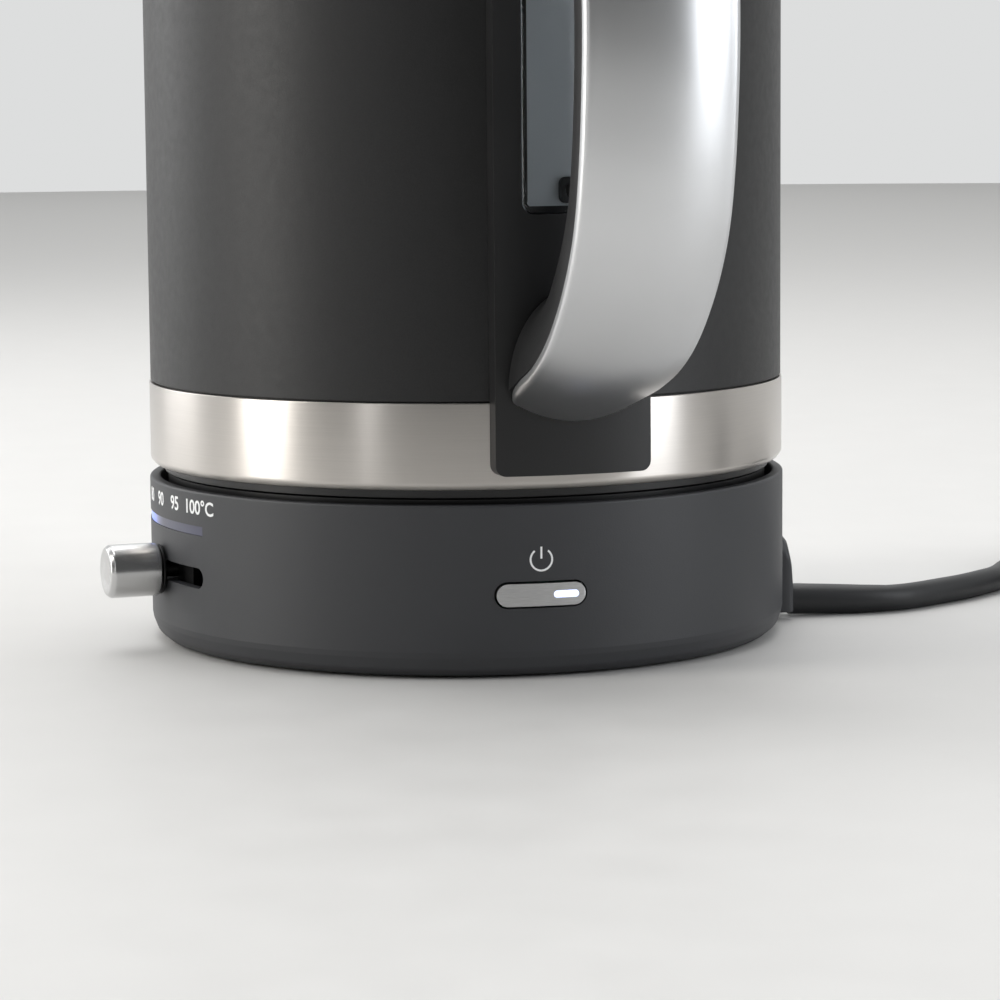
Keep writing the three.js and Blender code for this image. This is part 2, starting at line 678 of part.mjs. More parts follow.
function handleGrip() {
  const bores = HANDLE_SCREW_Z.flatMap((z) => [
    radialRod(SCREW_R + GAP, 0, z, 80, 95, 12),
    radialRod(3 + GAP, 0, z, 91.7, 135, 12),
  ]);
  const latchRoom = box(60, CAP.x, -6 - GAP, 6 + GAP, LATCH_Z[0] - GAP, LATCH_Z[1] + GAP);
  return cut(shellBlock(gripSection), ...bores, latchRoom, buttonPrism(2 * GAP, LATCH_Z[0] - GAP));
}

function handleScrew(z) {
  return join(radialRod(SCREW_R, 0, z, 81, 93, 12), radialRod(3, 0, z, 92, 94.4, 12));
}

// The plate between the kettle's wall and the handle, with the sight gauge's opening.
function plateOutline(grow) {
  const [low, high] = WINDOW_Z;
  return [roundedRectangle(WINDOW_W + 2 * grow, high - low + 2 * grow, 2.6 + grow), (low + high) / 2];
}

function handlePlate() {
  const [low, high] = PLATE_Z;
  const outline = radialPrism(roundedRectangle(PLATE_W, high - low, 2.4), 0, (low + high) / 2, 60, 90);
  const slab = sector(60, PLATE_R, low - 1, high + 1, -20, 20, 10).intersect(outline);
  const [opening, middle] = plateOutline(GAP);
  const hingeRoom = box(50, 79 + GAP, -13, 13, 221.7, 260);
  const aboveCollar = box(50, 79 + GAP, -30, 30, COLLAR_TOP - GAP, 260);
  const latchRoom = box(50, 90, -6 - GAP, 6 + GAP, LATCH_Z[0] - GAP, LATCH_Z[1] + GAP);
  const screwHoles = HANDLE_SCREW_Z.map((z) => radialRod(SCREW_R + GAP, 0, z, 50, 90, 12));
  const window = radialPrism(opening, 0, middle, 50, 95);
  return cut(slab, bodyEnvelope(GAP), window, hingeRoom, aboveCollar, latchRoom, ...screwHoles);
}

// A clear box, open at the back, that the water rises in.
function sightWindow() {
  const [outline, middle] = plateOutline(0);
  const [cavity] = plateOutline(-1.4);
  const block = radialPrism(outline, 0, middle, 70, 90);
  const front = sector(50, PLATE_R + 0.1, 100, 210, -20, 20, 10);
  const hollow = sector(50, PLATE_R - 1.4, 100, 210, -20, 20, 10);
  const chamber = radialPrism(cavity, 0, middle, 70, 90).intersect(hollow);
  return cut(block.intersect(front), bodyEnvelope(2 * GAP), chamber);
}

function gaugePort(z) {
  return cut(radialRod(3, 0, z, 73.6, 82, 16), radialRod(1.8, 0, z, 60, 90, 12));
}

// ---- lid release ----
function raisedShell(u) {
  const [outer, inner] = shellSection(u);
  return [outer.map(([y, h]) => [y, h + 0.9]), inner.map(([y]) => [y, -12])];
}

function lidButton() {
  return buttonPrism(0, CAP.low).intersect(shellBlock(raisedShell));
}

function lidButtonSpring() {
  return tube(2.2, 3.1, LATCH_Z[0], CAP.low - GAP, 12).translate([CAP.x + 2.4, 0, 0]);
}

function lidLatch() {
  return box(60.4, 101, -6, 6, ...LATCH_Z);
}

function makeKettle() {
  const kettle = new THREE.Group();
  kettle.add(
    mesh("kettle_connector", kettleConnector(), BLACK_PLASTIC),
    mesh("bottom_skirt", bottomSkirt(), BLACK_PLASTIC),
    mesh("steel_band", steelBand(), BRUSHED_STEEL),
    mesh("body_wall", bodyWall(), BLACK_COAT),
    mesh("inner_vessel", innerVessel(), STEEL),
    mesh("heater_plate", heaterPlate(), SATIN_ALUMINIUM),
    mesh("temperature_sensor", temperatureSensor(), STEEL),
    mesh("rim_collar", rimCollar(), BLACK_PLASTIC),
    mesh("spout", spout(), BLACK_COAT),
    mesh("spout_filter", spoutFilter(), BLACK_PLASTIC),
    mesh("handle_plate", handlePlate(), BLACK_PLASTIC),
    mesh("sight_window", sightWindow(), CLEAR),
    mesh("gauge_port_lower", gaugePort(PORT_Z[0]), RUBBER),
    mesh("gauge_port_upper", gaugePort(PORT_Z[1]), RUBBER),
    mesh("handle_shell", handleShell(), SATIN_ALUMINIUM),
    mesh("handle_grip", handleGrip(), BLACK_PLASTIC),
    mesh("handle_screw_lower", handleScrew(HANDLE_SCREW_Z[0]), STEEL),
    mesh("handle_screw_upper", handleScrew(HANDLE_SCREW_Z[1]), STEEL),
    mesh("lid_cover", lidCover(), BLACK_COAT),
    mesh("lid_liner", lidLiner(), BLACK_PLASTIC),
    mesh("lid_seal", lidSeal(), RUBBER),
    mesh("lid_hinge_pin", pinRod(HINGE.pin, 12.3), STEEL),
    mesh("lid_spring", springRing(), STEEL),
    mesh("lid_button", lidButton(), BLACK_PLASTIC),
    mesh("lid_button_spring", lidButtonSpring(), STEEL),
    mesh("lid_latch", lidLatch(), BLACK_PLASTIC),
  );
  return kettle;
}

// ---- cord ----
// The way the lead lies on the table, from the boss to where it joins the coil.
const CORD_Z = CORD_D / 2 + 0.05;
const CORD_ROUTE = [
  [11.8, 83.6, EXIT_Z],
  [12.7, 89.6, 5.0],
  [13.7, 95.6, 4.6],
  [14.6, 101.6, 4.2],
  [15.1, 107.4, 3.85],
  [14.6, 113.4, 3.6],
  [12.2, 120.2, CORD_Z],
  [8.6, 127.6, CORD_Z],
  [4.4, 136.0, CORD_Z],
  [-1.4, 144.8, CORD_Z],
  [-7.4, 152.6, CORD_Z],
  [-15.8, 159.4, CORD_Z],
  [-24.4, 166.2, CORD_Z],
  [-33.0, 172.9, CORD_Z],
  [-41.6, 179.7, CORD_Z],
  [-50.3, 186.5, CORD_Z],
];
const RELIEF_POINTS = 4; // the strain relief covers the route up to this point

// From the top turn of the coil to the back of the plug.
const TAIL_ROUTE = [
  [-15.3, 253.6, 9.4],
  [-6.4, 250.6, 9.9],
  [2.2, 246.6, 11.8],
  [10.4, 242.4, 14.8],
  [18.8, 239.2, 17.4],
  [27.4, 238, 18.4],
  [33.6, 238, 18.6],
];
const PLUG = { x: 34, y: 238, z: 18.6, r: 18.5, length: 62, pinLength: 19, pinHalf: 9.5 };
const TIE_ANGLE = 20;

function cordTube(route) {
  const curve = new THREE.CatmullRomCurve3(route.map((p) => new THREE.Vector3(...p)));
  const section = new THREE.Shape();
  section.absarc(0, 0, CORD_D / 2 - 0.05, 0, 2 * Math.PI, false);
  const steps = Math.ceil(curve.getLength() / (2.5 * CORD_D));
  const sweep = { steps, bevelEnabled: false, extrudePath: curve, curveSegments: 8 };
  return solid(new THREE.ExtrudeGeometry(section, sweep));
}

// A tapered rubber sleeve over the first stretch of the cord.
function cordRelief() {
  const start = new THREE.Vector3(...CORD_ROUTE[0]);
  const end = new THREE.Vector3(...CORD_ROUTE[RELIEF_POINTS]);
  const along = end.clone().sub(start);
  start.addScaledVector(along, -0.1);
  const length = end.distanceTo(start) - 4 * GAP;
  const sleeve = new THREE.CylinderGeometry(3.5, 4.15, length, 12).translate(0, length / 2, 0);
  const turn = new THREE.Quaternion().setFromUnitVectors(new THREE.Vector3(0, 1, 0), along.normalize());
  const place = new THREE.Matrix4().compose(start, turn, new THREE.Vector3(1, 1, 1));
  return solid(sleeve.applyMatrix4(place));
}

function aroundCoil(made) {
  return made.translate([COIL.x, COIL.y, 0]);
}

function coilTie(grow) {
  const frame = cut(
    box(COIL.r - 8.1 - grow, COIL.r + 8.1 + grow, -5 - grow, 5 + grow, 0, 14.2 + grow),
    box(COIL.r - 7 + grow, COIL.r + 7 - grow, -6 - grow, 6 + grow, 1 + grow, 13.1 - grow),
  );
  return aroundCoil(frame.rotate([0, 0, TIE_ANGLE]));
}

// The outer shape of the coil's turns: two side by side on the table and one on top of them.
function cordCoil() {
  const [low, high] = [COIL.r - CORD_D, COIL.r + CORD_D];
  const top = [[high, 5], [COIL.r + 3, 12.7], [COIL.r - 3, 12.7], [low, 5]];
  const ring = turned([[low, 0.05], [high, 0.05], ...top], 32);
  return cut(aroundCoil(ring), coilTie(GAP));
}

function cordRun() {
  const clearOfCoil = aroundCoil(disc(COIL.r + CORD_D + GAP, 0, 20, 32));
  return cut(cordTube(CORD_ROUTE.slice(RELIEF_POINTS)), clearOfCoil);
}

function cordTail() {
  const clearOfCoil = aroundCoil(disc(COIL.r + CORD_D + GAP, -5, 30, 32));
  return cut(cordTube(TAIL_ROUTE), clearOfCoil);
}

function plugBody() {
  const { x, y, z, r, length } = PLUG;
  const front = length - 2;
  const body = turned([
    [0, 0], [4.4, 0], [5.6, 20], [9, 23], [15, 31], [r - 0.6, 38], [r, 42], [r, front], [r - 2, length],
    [0, length],
  ], 24);
  return body.rotate([0, 90, 0]).translate([x, y, z]);
}

function plugPin(side) {
  const { x, y, z, length, pinLength, pinHalf } = PLUG;
  const pin = turned([[0, 0], [2.4, 0], [2.4, pinLength - 1.5], [1.2, pinLength], [0, pinLength]], 12);
  return pin.rotate([0, 90, 0]).translate([x + length + GAP, y + side * pinHalf, z]);
}

function makeCord() {
  const cord = new THREE.Group();
  cord.add(
    mesh("cord_relief", cordRelief(), RUBBER),
    mesh("cord_run", cordRun(), RUBBER),
    mesh("cord_coil", cordCoil(), RUBBER),
    mesh("cord_tie", coilTie(0), RUBBER),
    mesh("cord_tail", cordTail(), RUBBER),
    mesh("plug_body", plugBody(), RUBBER),
    mesh("plug_pin_1", plugPin(-1), STEEL),
    mesh("plug_pin_2", plugPin(1), STEEL),
  );
  return cord;
}

// ---- whole object ----
const electricKettle = new THREE.Group();
electricKettle.add(makeBase(), makeKettle(), makeCord());

export default electricKettle;
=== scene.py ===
"""Electric kettle on a power base: the pieces that are seen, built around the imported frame. Metres, +Z up."""

import math

import bmesh
import bpy
from mathutils import Matrix, Vector


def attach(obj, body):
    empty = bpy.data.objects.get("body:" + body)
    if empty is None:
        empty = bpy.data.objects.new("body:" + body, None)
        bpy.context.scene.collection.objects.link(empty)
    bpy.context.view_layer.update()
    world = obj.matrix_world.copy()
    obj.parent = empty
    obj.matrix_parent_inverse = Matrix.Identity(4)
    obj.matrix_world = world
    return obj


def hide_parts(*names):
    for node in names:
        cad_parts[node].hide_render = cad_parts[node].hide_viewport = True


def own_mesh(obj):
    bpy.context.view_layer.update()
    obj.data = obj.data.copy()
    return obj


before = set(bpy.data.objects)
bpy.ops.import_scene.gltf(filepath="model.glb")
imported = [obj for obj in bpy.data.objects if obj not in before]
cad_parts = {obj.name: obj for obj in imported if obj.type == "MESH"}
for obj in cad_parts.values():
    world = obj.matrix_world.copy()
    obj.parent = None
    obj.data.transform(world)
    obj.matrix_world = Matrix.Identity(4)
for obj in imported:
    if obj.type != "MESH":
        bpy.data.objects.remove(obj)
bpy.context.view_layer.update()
MM = 0.001


def shown(name, data):
    """A new object in the scene."""
    made = bpy.data.objects.new(name, data)
    bpy.context.scene.collection.objects.link(made)
    return made


# ---- camera ----
# A long lens a little above table height looks across the base and the foot of the handle. The frame is
# wider to the right of the kettle than to the left, which the shift gives.
CAMERA_PLACE = Vector((0.8118, -0.2591, 0.1359))
CAMERA_DOWN = math.radians(6.907)
CAMERA_ROLL = math.radians(-0.563)
lens = bpy.data.cameras.new("camera")
lens.lens = 121.48
lens.sensor_width = 36
lens.shift_x = 0.0334
lens.clip_start = 0.01
camera = shown("camera", lens)
level = Vector((-CAMERA_PLACE.x, -CAMERA_PLACE.y, 0)).normalized()
ahead = level * math.cos(CAMERA_DOWN) - Vector((0, 0, 1)) * math.sin(CAMERA_DOWN)
camera.matrix_world = (
    Matrix.Translation(CAMERA_PLACE)
    @ ahead.to_track_quat("-Z", "Y").to_matrix().to_4x4()
    @ Matrix.Rotation(CAMERA_ROLL, 4, "Z")
)
bpy.context.scene.camera = camera


def linear(colour):
    """An sRGB hex colour as linear red, green, blue and one."""
    parts = [int(colour[i : i + 2], 16) / 255 for i in (1, 3, 5)]
    return [c / 12.92 if c <= 0.04045 else ((c + 0.055) / 1.055) ** 2.4 for c in parts] + [1]


def node(material, kind, inputs=(), **settings):
    """Adds a node with its settings. A socket is set from a value, or linked from another node's output."""
    made = material.node_tree.nodes.new("ShaderNode" + kind)
    for key, value in settings.items():
        setattr(made, key, value)
    for socket, value in dict(inputs).items():
        if isinstance(value, bpy.types.NodeSocket):
            material.node_tree.links.new(value, made.inputs[socket])
        else:
            made.inputs[socket].default_value = value
    return made


def new_material(name):
    """A material with its shader and output, and the piece's own coordinates in metres."""
    material = bpy.data.materials.new(name)
    material.use_nodes = True
    material.node_tree.nodes.clear()
    shader = node(material, "BsdfPrincipled")
    node(material, "OutputMaterial", {"Surface": shader.outputs[0]})
    place = node(material, "TexCoord").outputs["Object"]
    return material, shader, place


def connect(material, shader, inputs):
    """Sets or links sockets of a shader that is already there."""
    for socket, value in inputs.items():
        if isinstance(value, bpy.types.NodeSocket):
            material.node_tree.links.new(value, shader.inputs[socket])
        else:
            shader.inputs[socket].default_value = value


def noise(material, place, scale, detail, **more):
    inputs = {"Vector": place, "Scale": scale, "Detail": detail, **more}
    return node(material, "TexNoise", inputs).outputs["Fac"]


def stretched(material, place, scale):
    """The coordinates drawn out, so that a noise makes lines."""
    return node(material, "Mapping", {"Vector": place, "Scale": scale}).outputs[0]


def calc(material, operation, *values):
    return node(material, "Math", dict(enumerate(values)), operation=operation).outputs[0]


def mixed(material, amount, dark, light):
    return node(material, "Mix", {0: amount, 6: linear(dark), 7: linear(light)}, data_type="RGBA").outputs[2]


def remap(material, value, low, high, start=0, end=1, **settings):
    """A value that runs from start to end, carried over to run from low to high."""
    inputs = {"Value": value, "From Min": start, "From Max": end, "To Min": low, "To Max": high}
    return node(material, "MapRange", inputs, **settings).outputs[0]


def bumped(material, height, strength, depth):
    """Surface relief of that depth in mm."""
    return node(material, "Bump", {"Height": height, "Strength": strength, "Distance": depth * MM}).outputs[0]


def moulded(name, dark, light, grain, depth, roughness, spread=0.06, more=()):
    """Moulded plastic or rubber: a grain of that size and depth in mm, tone that drifts slowly over the
    piece, and a roughness that varies by spread where it has been handled."""
    material, shader, place = new_material(name)
    fine = noise(material, place, 1 / (grain * MM), 3)
    broad = noise(material, place, 45, 2)
    rough = remap(material, broad, roughness - spread, roughness + spread, 0.3, 0.7)
    connect(material, shader, {"Base Color": mixed(material, broad, dark, light), "Roughness": rough,
                               "Normal": bumped(material, fine, 0.5, depth), **dict(more)})
    return material


def marked(name, colours, scale, detail, rough, strength, depth, more=(), lines=None):
    """A surface that shows how it was made. Its marks are one noise, which may be drawn out into lines, and
    they set its roughness between two limits, its relief, and its tone where there are two colours."""
    material, shader, place = new_material(name)
    marks = noise(material, stretched(material, place, lines) if lines else place, scale, detail)
    tone = mixed(material, marks, *colours) if len(colours) > 1 else linear(colours[0])
    connect(material, shader, {"Base Color": tone, "Roughness": remap(material, marks, *rough),
                               "Normal": bumped(material, marks, strength, depth), **dict(more)})
    return material


def piece(name, vertices, faces, material, body, replaces=(), smooth=35):
    """A mesh piece that rides on a body, smooth except where faces meet at more than that angle."""
    mesh = bpy.data.meshes.new(name)
    mesh.from_pydata([tuple(v) for v in vertices], [], faces)
    made = shown(name, mesh)
    built = bmesh.new()
    built.from_mesh(mesh)
    bmesh.ops.remove_doubles(built, verts=built.verts, dist=1e-7)
    bmesh.ops.recalc_face_normals(built, faces=built.faces)
    built.to_mesh(mesh)
    built.free()
    if material:
        mesh.materials.append(material)
        shade(made, smooth)
    if body:
        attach(made, body)
    if replaces:
        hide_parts(*replaces)
    return made


def shade(made, angle=35):
    made.data.shade_smooth()
    made.data.set_sharp_from_angle(angle=math.radians(angle))


def settle(made):
    """Applies a piece's modifiers to its mesh."""
    graph = bpy.context.evaluated_depsgraph_get()
    done = bpy.data.meshes.new_from_object(made.evaluated_get(graph))
    made.modifiers.clear()
    made.data = done
    shade(made)


def rounded(corners, arc=6):
    """A closed outline from (x, y, radius) corners, each corner turned with its own radius."""
    line = []
    count = len(corners)
    for i, (x, y, radius) in enumerate(corners):
        here = Vector((x, y))
        if not radius:
            line.append(here)
            continue
        back = (Vector(corners[i - 1][:2]) - here).normalized()
        on = (Vector(corners[(i + 1) % count][:2]) - here).normalized()
        half = back.angle(on) / 2
        reach = radius / math.tan(half)
        centre = here + (back + on).normalized() * radius / math.sin(half)
        first, last = here + back * reach - centre, here + on * reach - centre
        turn = first.angle_signed(last)
        for step in range(arc + 1):
            line.append(centre + Matrix.Rotation(-turn * step / arc, 2) @ first)
    return line


def turned(name, corners, material=None, body=None, replaces=(), steps=160, place=None, smooth=35, arc=6):
    """A piece turned about Z from (radius, z, corner radius) corners in mm, and put in its place."""
    line = rounded(corners, arc)
    vertices, faces, rings = [], [], []
    for point in line:
        on_axis = point.x < 1e-6
        rings.append((len(vertices), on_axis))
        for step in range(1 if on_axis else steps):
            a = math.tau * step / steps
            vertices.append(Vector((point.x * math.cos(a), point.x * math.sin(a), point.y)) * MM)
    for i, (first, axis_a) in enumerate(rings):
        second, axis_b = rings[(i + 1) % len(rings)]
        for step in range(steps):
            on = (step + 1) % steps
            a, b = (first, first) if axis_a else (first + step, first + on)
            c, d = (second, second) if axis_b else (second + on, second + step)
            corner = [v for k, v in enumerate((a, b, c, d)) if v not in (a, b, c, d)[:k]]
            if len(corner) > 2:
                faces.append(corner)
    if place:
        vertices = [place @ v for v in vertices]
    return piece(name, vertices, faces, material, body, replaces, smooth)


def between(points, t):
    """A point on the smooth curve through points, t from 0 at the first to 1 at the last."""
    s = min(max(t, 0), 1) * (len(points) - 1)
    i = min(int(s), len(points) - 2)
    f = s - i
    a, b, c, d = (Vector(points[min(max(i + k, 0), len(points) - 1)]) for k in (-1, 0, 1, 2))
    square, cube = 2 * a - 5 * b + 4 * c - d, 3 * b - 3 * c + d - a
    return 0.5 * (2 * b + (c - a) * f + square * f * f + cube * f ** 3)


def lofted(name, rings, material=None, body=None, replaces=(), smooth=35):
    """A closed skin over rings of points in mm, with a flat cap on each end."""
    size = len(rings[0])
    vertices = [Vector(p) * MM for ring in rings for p in ring]
    faces = [list(range(size))[::-1], list(range(len(vertices) - size, len(vertices)))]
    for i in range(len(rings) - 1):
        for j in range(size):
            k = (j + 1) % size
            faces.append([i * size + j, i * size + k, (i + 1) * size + k, (i + 1) * size + j])
    return piece(name, vertices, faces, material, body, replaces, smooth)


METAL = {"Metallic": 1}

# ---- cord ----
# A round 6.8 mm lead in black PVC, 0.75 m long. It leaves the back of the base low down, bends along the
# table and ends in a small round coil held by a tie, with the plug beside it.
CORD_D = 6.8
CORD_Z = CORD_D / 2 + 0.05
CORD_ROUTE = [
    (11.8, 83.6, 4.4), (12.7, 89.6, 4.15), (13.7, 95.6, 3.95), (14.6, 101.6, 3.75), (15.1, 107.4, 3.6),
    (14.6, 113.4, 3.5), (12.2, 120.2, CORD_Z), (8.6, 127.6, CORD_Z), (4.4, 136.0, CORD_Z),
    (-1.4, 144.8, CORD_Z), (-7.4, 152.6, CORD_Z), (-15.8, 159.4, CORD_Z), (-24.4, 166.2, CORD_Z),
    (-33.0, 172.9, CORD_Z), (-41.6, 179.7, CORD_Z),
]
CORD_TAIL = [
    (-6.4, 250.6, 10.0), (2.2, 246.6, 11.8), (10.4, 242.4, 14.8), (18.8, 239.2, 17.4), (27.4, 238, 18.4),
    (35, 238, 18.6),
]
COIL = Vector((-24.9, 217.9, 0))
COIL_OUT, COIL_IN, COIL_TOP = 40.4, 33.55, 37.0
COIL_FROM, COIL_TURN, COIL_STEP = 231, 876, 12  # degrees, clockwise seen from above


def ease(a, b, phase, start, end):
    t = min(max((phase - start) / (end - start), 0), 1)
    return a + (b - a) * t * t * (3 - 2 * t)


def coil_radius(phase):
    """One turn outside, one inside it, and the last one on top of the two."""
    if phase < 600:
        return ease(COIL_OUT, COIL_IN, phase, 300, 358)
    return ease(COIL_IN, COIL_TOP, phase, 612, 676)


def coil_height(phase):
    """A turn that has others under it rests on them."""
    under = [coil_radius(phase - 360 * k) for k in (1, 2) if phase > 612 and phase >= 360 * k]
    rests = [(CORD_D + 0.06) ** 2 - (coil_radius(phase) - r) ** 2 for r in under]
    return CORD_Z + max([math.sqrt(max(r, 0)) for r in rests], default=0)


coil = []
for phase in range(0, COIL_TURN + 1, COIL_STEP):
    a = math.radians(COIL_FROM - phase)
    out = Vector((math.cos(a), math.sin(a), 0)) * coil_radius(phase)
    coil.append(COIL + out + Vector((0, 0, coil_height(phase))))
cord_points = [Vector(p) for p in CORD_ROUTE] + coil + [Vector(p) for p in CORD_TAIL]

# Flexible PVC: matt black with a soft sheen, its skin very slightly uneven from the extruder.
pvc = moulded("flexible_pvc_extruded", "#151618", "#1f2022", 0.9, 0.06, 0.5, more={"IOR": 1.53})
line = bpy.data.curves.new("cord", "CURVE")
line.dimensions = "3D"
spline = line.splines.new("BEZIER")
spline.bezier_points.add(len(cord_points) - 1)
for knot, at in zip(spline.bezier_points, cord_points):
    knot.co = at * MM
    knot.handle_left_type = knot.handle_right_type = "AUTO"
line.resolution_u = 8
line.bevel_depth = CORD_D / 2 * MM
line.bevel_resolution = 7
line.use_fill_caps = True
line.materials.append(pvc)
cord = shown("cord", line)
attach(cord, "base")
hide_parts("cord_run", "cord_coil", "cord_tail")

# The strain relief is a smooth tapered sleeve moulded over the first 27 mm, in the same PVC as the lead.
RELIEF = [(4, 0), (3.97, 5), (3.9, 10), (3.8, 15), (3.66, 20), (3.52, 25), (3.42, 27)]
RELIEF_LENGTH, RELIEF_KNOTS = 27, 4.35
relief_rings = []
for radius, along in RELIEF:
    t = along / RELIEF_LENGTH * RELIEF_KNOTS / (len(CORD_ROUTE) - 1)
    centre, ahead_point = between(CORD_ROUTE, t), between(CORD_ROUTE, t + 0.01)
    turn = (ahead_point - centre).to_track_quat("Z", "Y").to_matrix()
    ring = []
    for k in range(40):
        a = math.tau * k / 40
        ring.append(centre + turn @ Vector((radius * math.cos(a), radius * math.sin(a), 0)))
    relief_rings.append([Vector((p.x, p.y, max(p.z, 0.1))) for p in ring])
relief = lofted("cord_strain_relief", relief_rings, pvc, "base", ["cord_relief"], smooth=50)

# The tie is a strip of black nylon hook tape round the coil, its end pressed flat on top.
nylon, nylon_shader, place = new_material("nylon_hook_tape_woven")
weave = node(nylon, "TexWave", {"Vector": place, "Scale": 500, "Distortion": 2, "Detail": 1}).outputs["Fac"]
hooks = node(nylon, "TexVoronoi", {"Vector": place, "Scale": 1800}).outputs["Distance"]
connect(nylon, nylon_shader, {
    "Base Color": mixed(nylon, hooks, "#101011", "#2c2d30"), "Roughness": 0.85, "Sheen Weight": 0.3,
    "Normal": bumped(nylon, calc(nylon, "ADD", weave, hooks), 0.6, 0.15)})
TIE_TURN = Matrix.Translation(COIL * MM) @ Matrix.Rotation(math.radians(20), 4, "Z")
tie_outer = rounded([
    (-8.3, 0.02, 1.5), (8.3, 0.02, 1.5), (8.3, 9.2, 3), (3.2, 14, 2.2), (-3.2, 14, 2.2), (-8.3, 9.2, 3),
])
tie_inner = rounded([
    (-7.5, 0.04, 1), (7.5, 0.04, 1), (7.5, 8.9, 2.6), (2.9, 13.2, 1.8), (-2.9, 13.2, 1.8),
    (-7.5, 8.9, 2.6),
])
vertices, faces = [], []
size = len(tie_outer)
for y in (-5, 5):
    for ring in (tie_outer, tie_inner):
        vertices += [TIE_TURN @ (Vector((37 + p.x, y, p.y)) * MM) for p in ring]
for j in range(size):
    k = (j + 1) % size
    for a, b in ((0, 1), (1, 3), (3, 2), (2, 0)):
        faces.append([a * size + j, a * size + k, b * size + k, b * size + j])
tie = piece("cord_tie_strip", vertices, faces, nylon, "base", ["cord_tie"])

# The plug is one moulding in the same PVC over two round pins: a grip that widens to a disc at the pins.
PLUG_Y, PLUG_Z = 238, 18.6
SIDEWAYS = Matrix.Rotation(math.pi / 2, 4, "Y")
PLUG = Matrix.Translation(Vector((34, PLUG_Y, PLUG_Z)) * MM) @ SIDEWAYS
plug = turned("plug_moulding", [
    (0, 0, 0), (4.3, 0, 0.6), (5.2, 8, 2), (4.8, 9, 0.4), (4.9, 10.2, 0.4), (5.5, 10.8, 0.4), (5.7, 14, 2),
    (5.2, 15, 0.4), (5.3, 16.2, 0.4), (6, 17, 0.4), (8.6, 23, 4), (12.5, 29, 8), (16.5, 36, 6),
    (18.3, 42, 3), (18.5, 60, 0.8), (17.9, 62, 1.4), (13, 62, 0.4), (12.8, 61.2, 0.4), (0, 61.2, 0),
], pvc, "base", ["plug_body"], steps=96, place=PLUG)

# The pins are nickel-plated brass with a black sleeve over the half nearest the plug.
nickel = marked("nickel_plated_brass_turned", ["#c9c7c0"], 900, 4, (0.16, 0.34), 0.2, 0.02, METAL)
on_cord = [relief, tie, plug]
for number, side in ((1, -9.5), (2, 9.5)):
    pin_place = Matrix.Translation(Vector((96.3, PLUG_Y + side, PLUG_Z)) * MM) @ SIDEWAYS
    pin = turned(f"plug_pin_{number}_metal", [
        (0, -1, 0), (2.1, -1, 0), (2.1, 9, 0), (2.4, 9, 0), (2.4, 17.6, 1.6), (1, 19, 0.8), (0, 19, 0),
    ], nickel, "base", [f"plug_pin_{number}"], steps=40, place=pin_place)
    sleeve = turned(f"plug_pin_{number}_sleeve", [
        (0, -0.6, 0), (2.4, -0.6, 0), (2.4, 8.9, 0.2), (0, 8.9, 0),
    ], pvc, "base", steps=40, place=pin_place)
    on_cord += [pin, sleeve]

# ---- base housing ----
# The wall, the rim and the floor of the recess are one moulding in dark grey ABS, spark-textured matt. The
# slider's slot, the light bar's window and the button's hole are open in the wall.
BASE_TURN = -5.3
BASE_R = 80.0
CONTROL_Z = 19.9
SCALE_MIDDLE = BASE_TURN - 90
SCALE_HALF = 25
SLOT_END, SLOT_R = 1.8, 2.5
CORD_ANGLE = BASE_TURN + 87.3
BUTTON_W, BUTTON_H = 22.2, 6.3
LIGHT_LOW, LIGHT_HIGH = 30.3, 32.6


def radial(angle, z, out=0):
    """The place at an angle in degrees and a height in mm, whose own Z points out and own Y points up."""
    a = math.radians(angle)
    outward, side = Vector((math.cos(a), math.sin(a), 0)), Vector((-math.sin(a), math.cos(a), 0))
    turn = Matrix((side, (0, 0, 1), outward)).transposed().to_4x4()
    return Matrix.Translation((outward * out + Vector((0, 0, z))) * MM) @ turn


def prism(name, corners, low, high, material=None, body=None, replaces=(), place=Matrix(), arc=8):
    """A flat outline of (x, y, radius) corners in mm, drawn out from low to high along its own Z."""
    line = rounded(corners, arc)
    rings = [[(p.x, p.y, h) for p in line] for h in (low, high)]
    made = lofted(name, rings, material, body, replaces)
    made.data.transform(place)
    return made


def box(x0, x1, y0, y1, radius):
    """The corners of a rectangle."""
    return [(x0, y0, radius), (x1, y0, radius), (x1, y1, radius), (x0, y1, radius)]


def bar(width, height, radius):
    """The corners of a rectangle about the middle."""
    return box(-width / 2, width / 2, -height / 2, height / 2, radius)


def drill(radius, low, high, place=None, steps=32, inner=0):
    """A round tool in mm along its own Z: a rod, or a hoop where it has an inner radius."""
    return turned("tool", [(inner, low, 0), (radius, low, 0), (radius, high, 0), (inner, high, 0)],
                  steps=steps, place=place)


def ring_sector(name, inner, outer, low, high, middle, half, material=None, body=None, replaces=(), steps=60):
    """A piece of a ring with flat ends, in mm and degrees."""
    rings = []
    for step in range(steps + 1):
        a = math.radians(middle - half + 2 * half * step / steps)
        section = ((inner, low), (outer, low), (outer, high), (inner, high))
        rings.append([(r * math.cos(a), r * math.sin(a), z) for r, z in section])
    return lofted(name, rings, material, body, replaces)


def cut(made, *tools, edge=0.0):
    """Takes the tools out of a piece, and breaks the new sharp edges by a chamfer of that many mm."""
    made.modifiers.clear()
    for tool in tools:
        step = made.modifiers.new("cut", "BOOLEAN")
        step.operation = "DIFFERENCE"
        step.solver = "EXACT"
        step.object = tool
    if edge:
        soft = made.modifiers.new("edge", "BEVEL")
        soft.width = edge * MM
        soft.segments = 2
        soft.limit_method = "ANGLE"
        soft.angle_limit = math.radians(50)
    settle(made)
    for tool in tools:
        bpy.data.objects.remove(tool)
    even = made.modifiers.new("even", "WEIGHTED_NORMAL")
    even.keep_sharp = True


BUTTON = radial(BASE_TURN, CONTROL_Z)

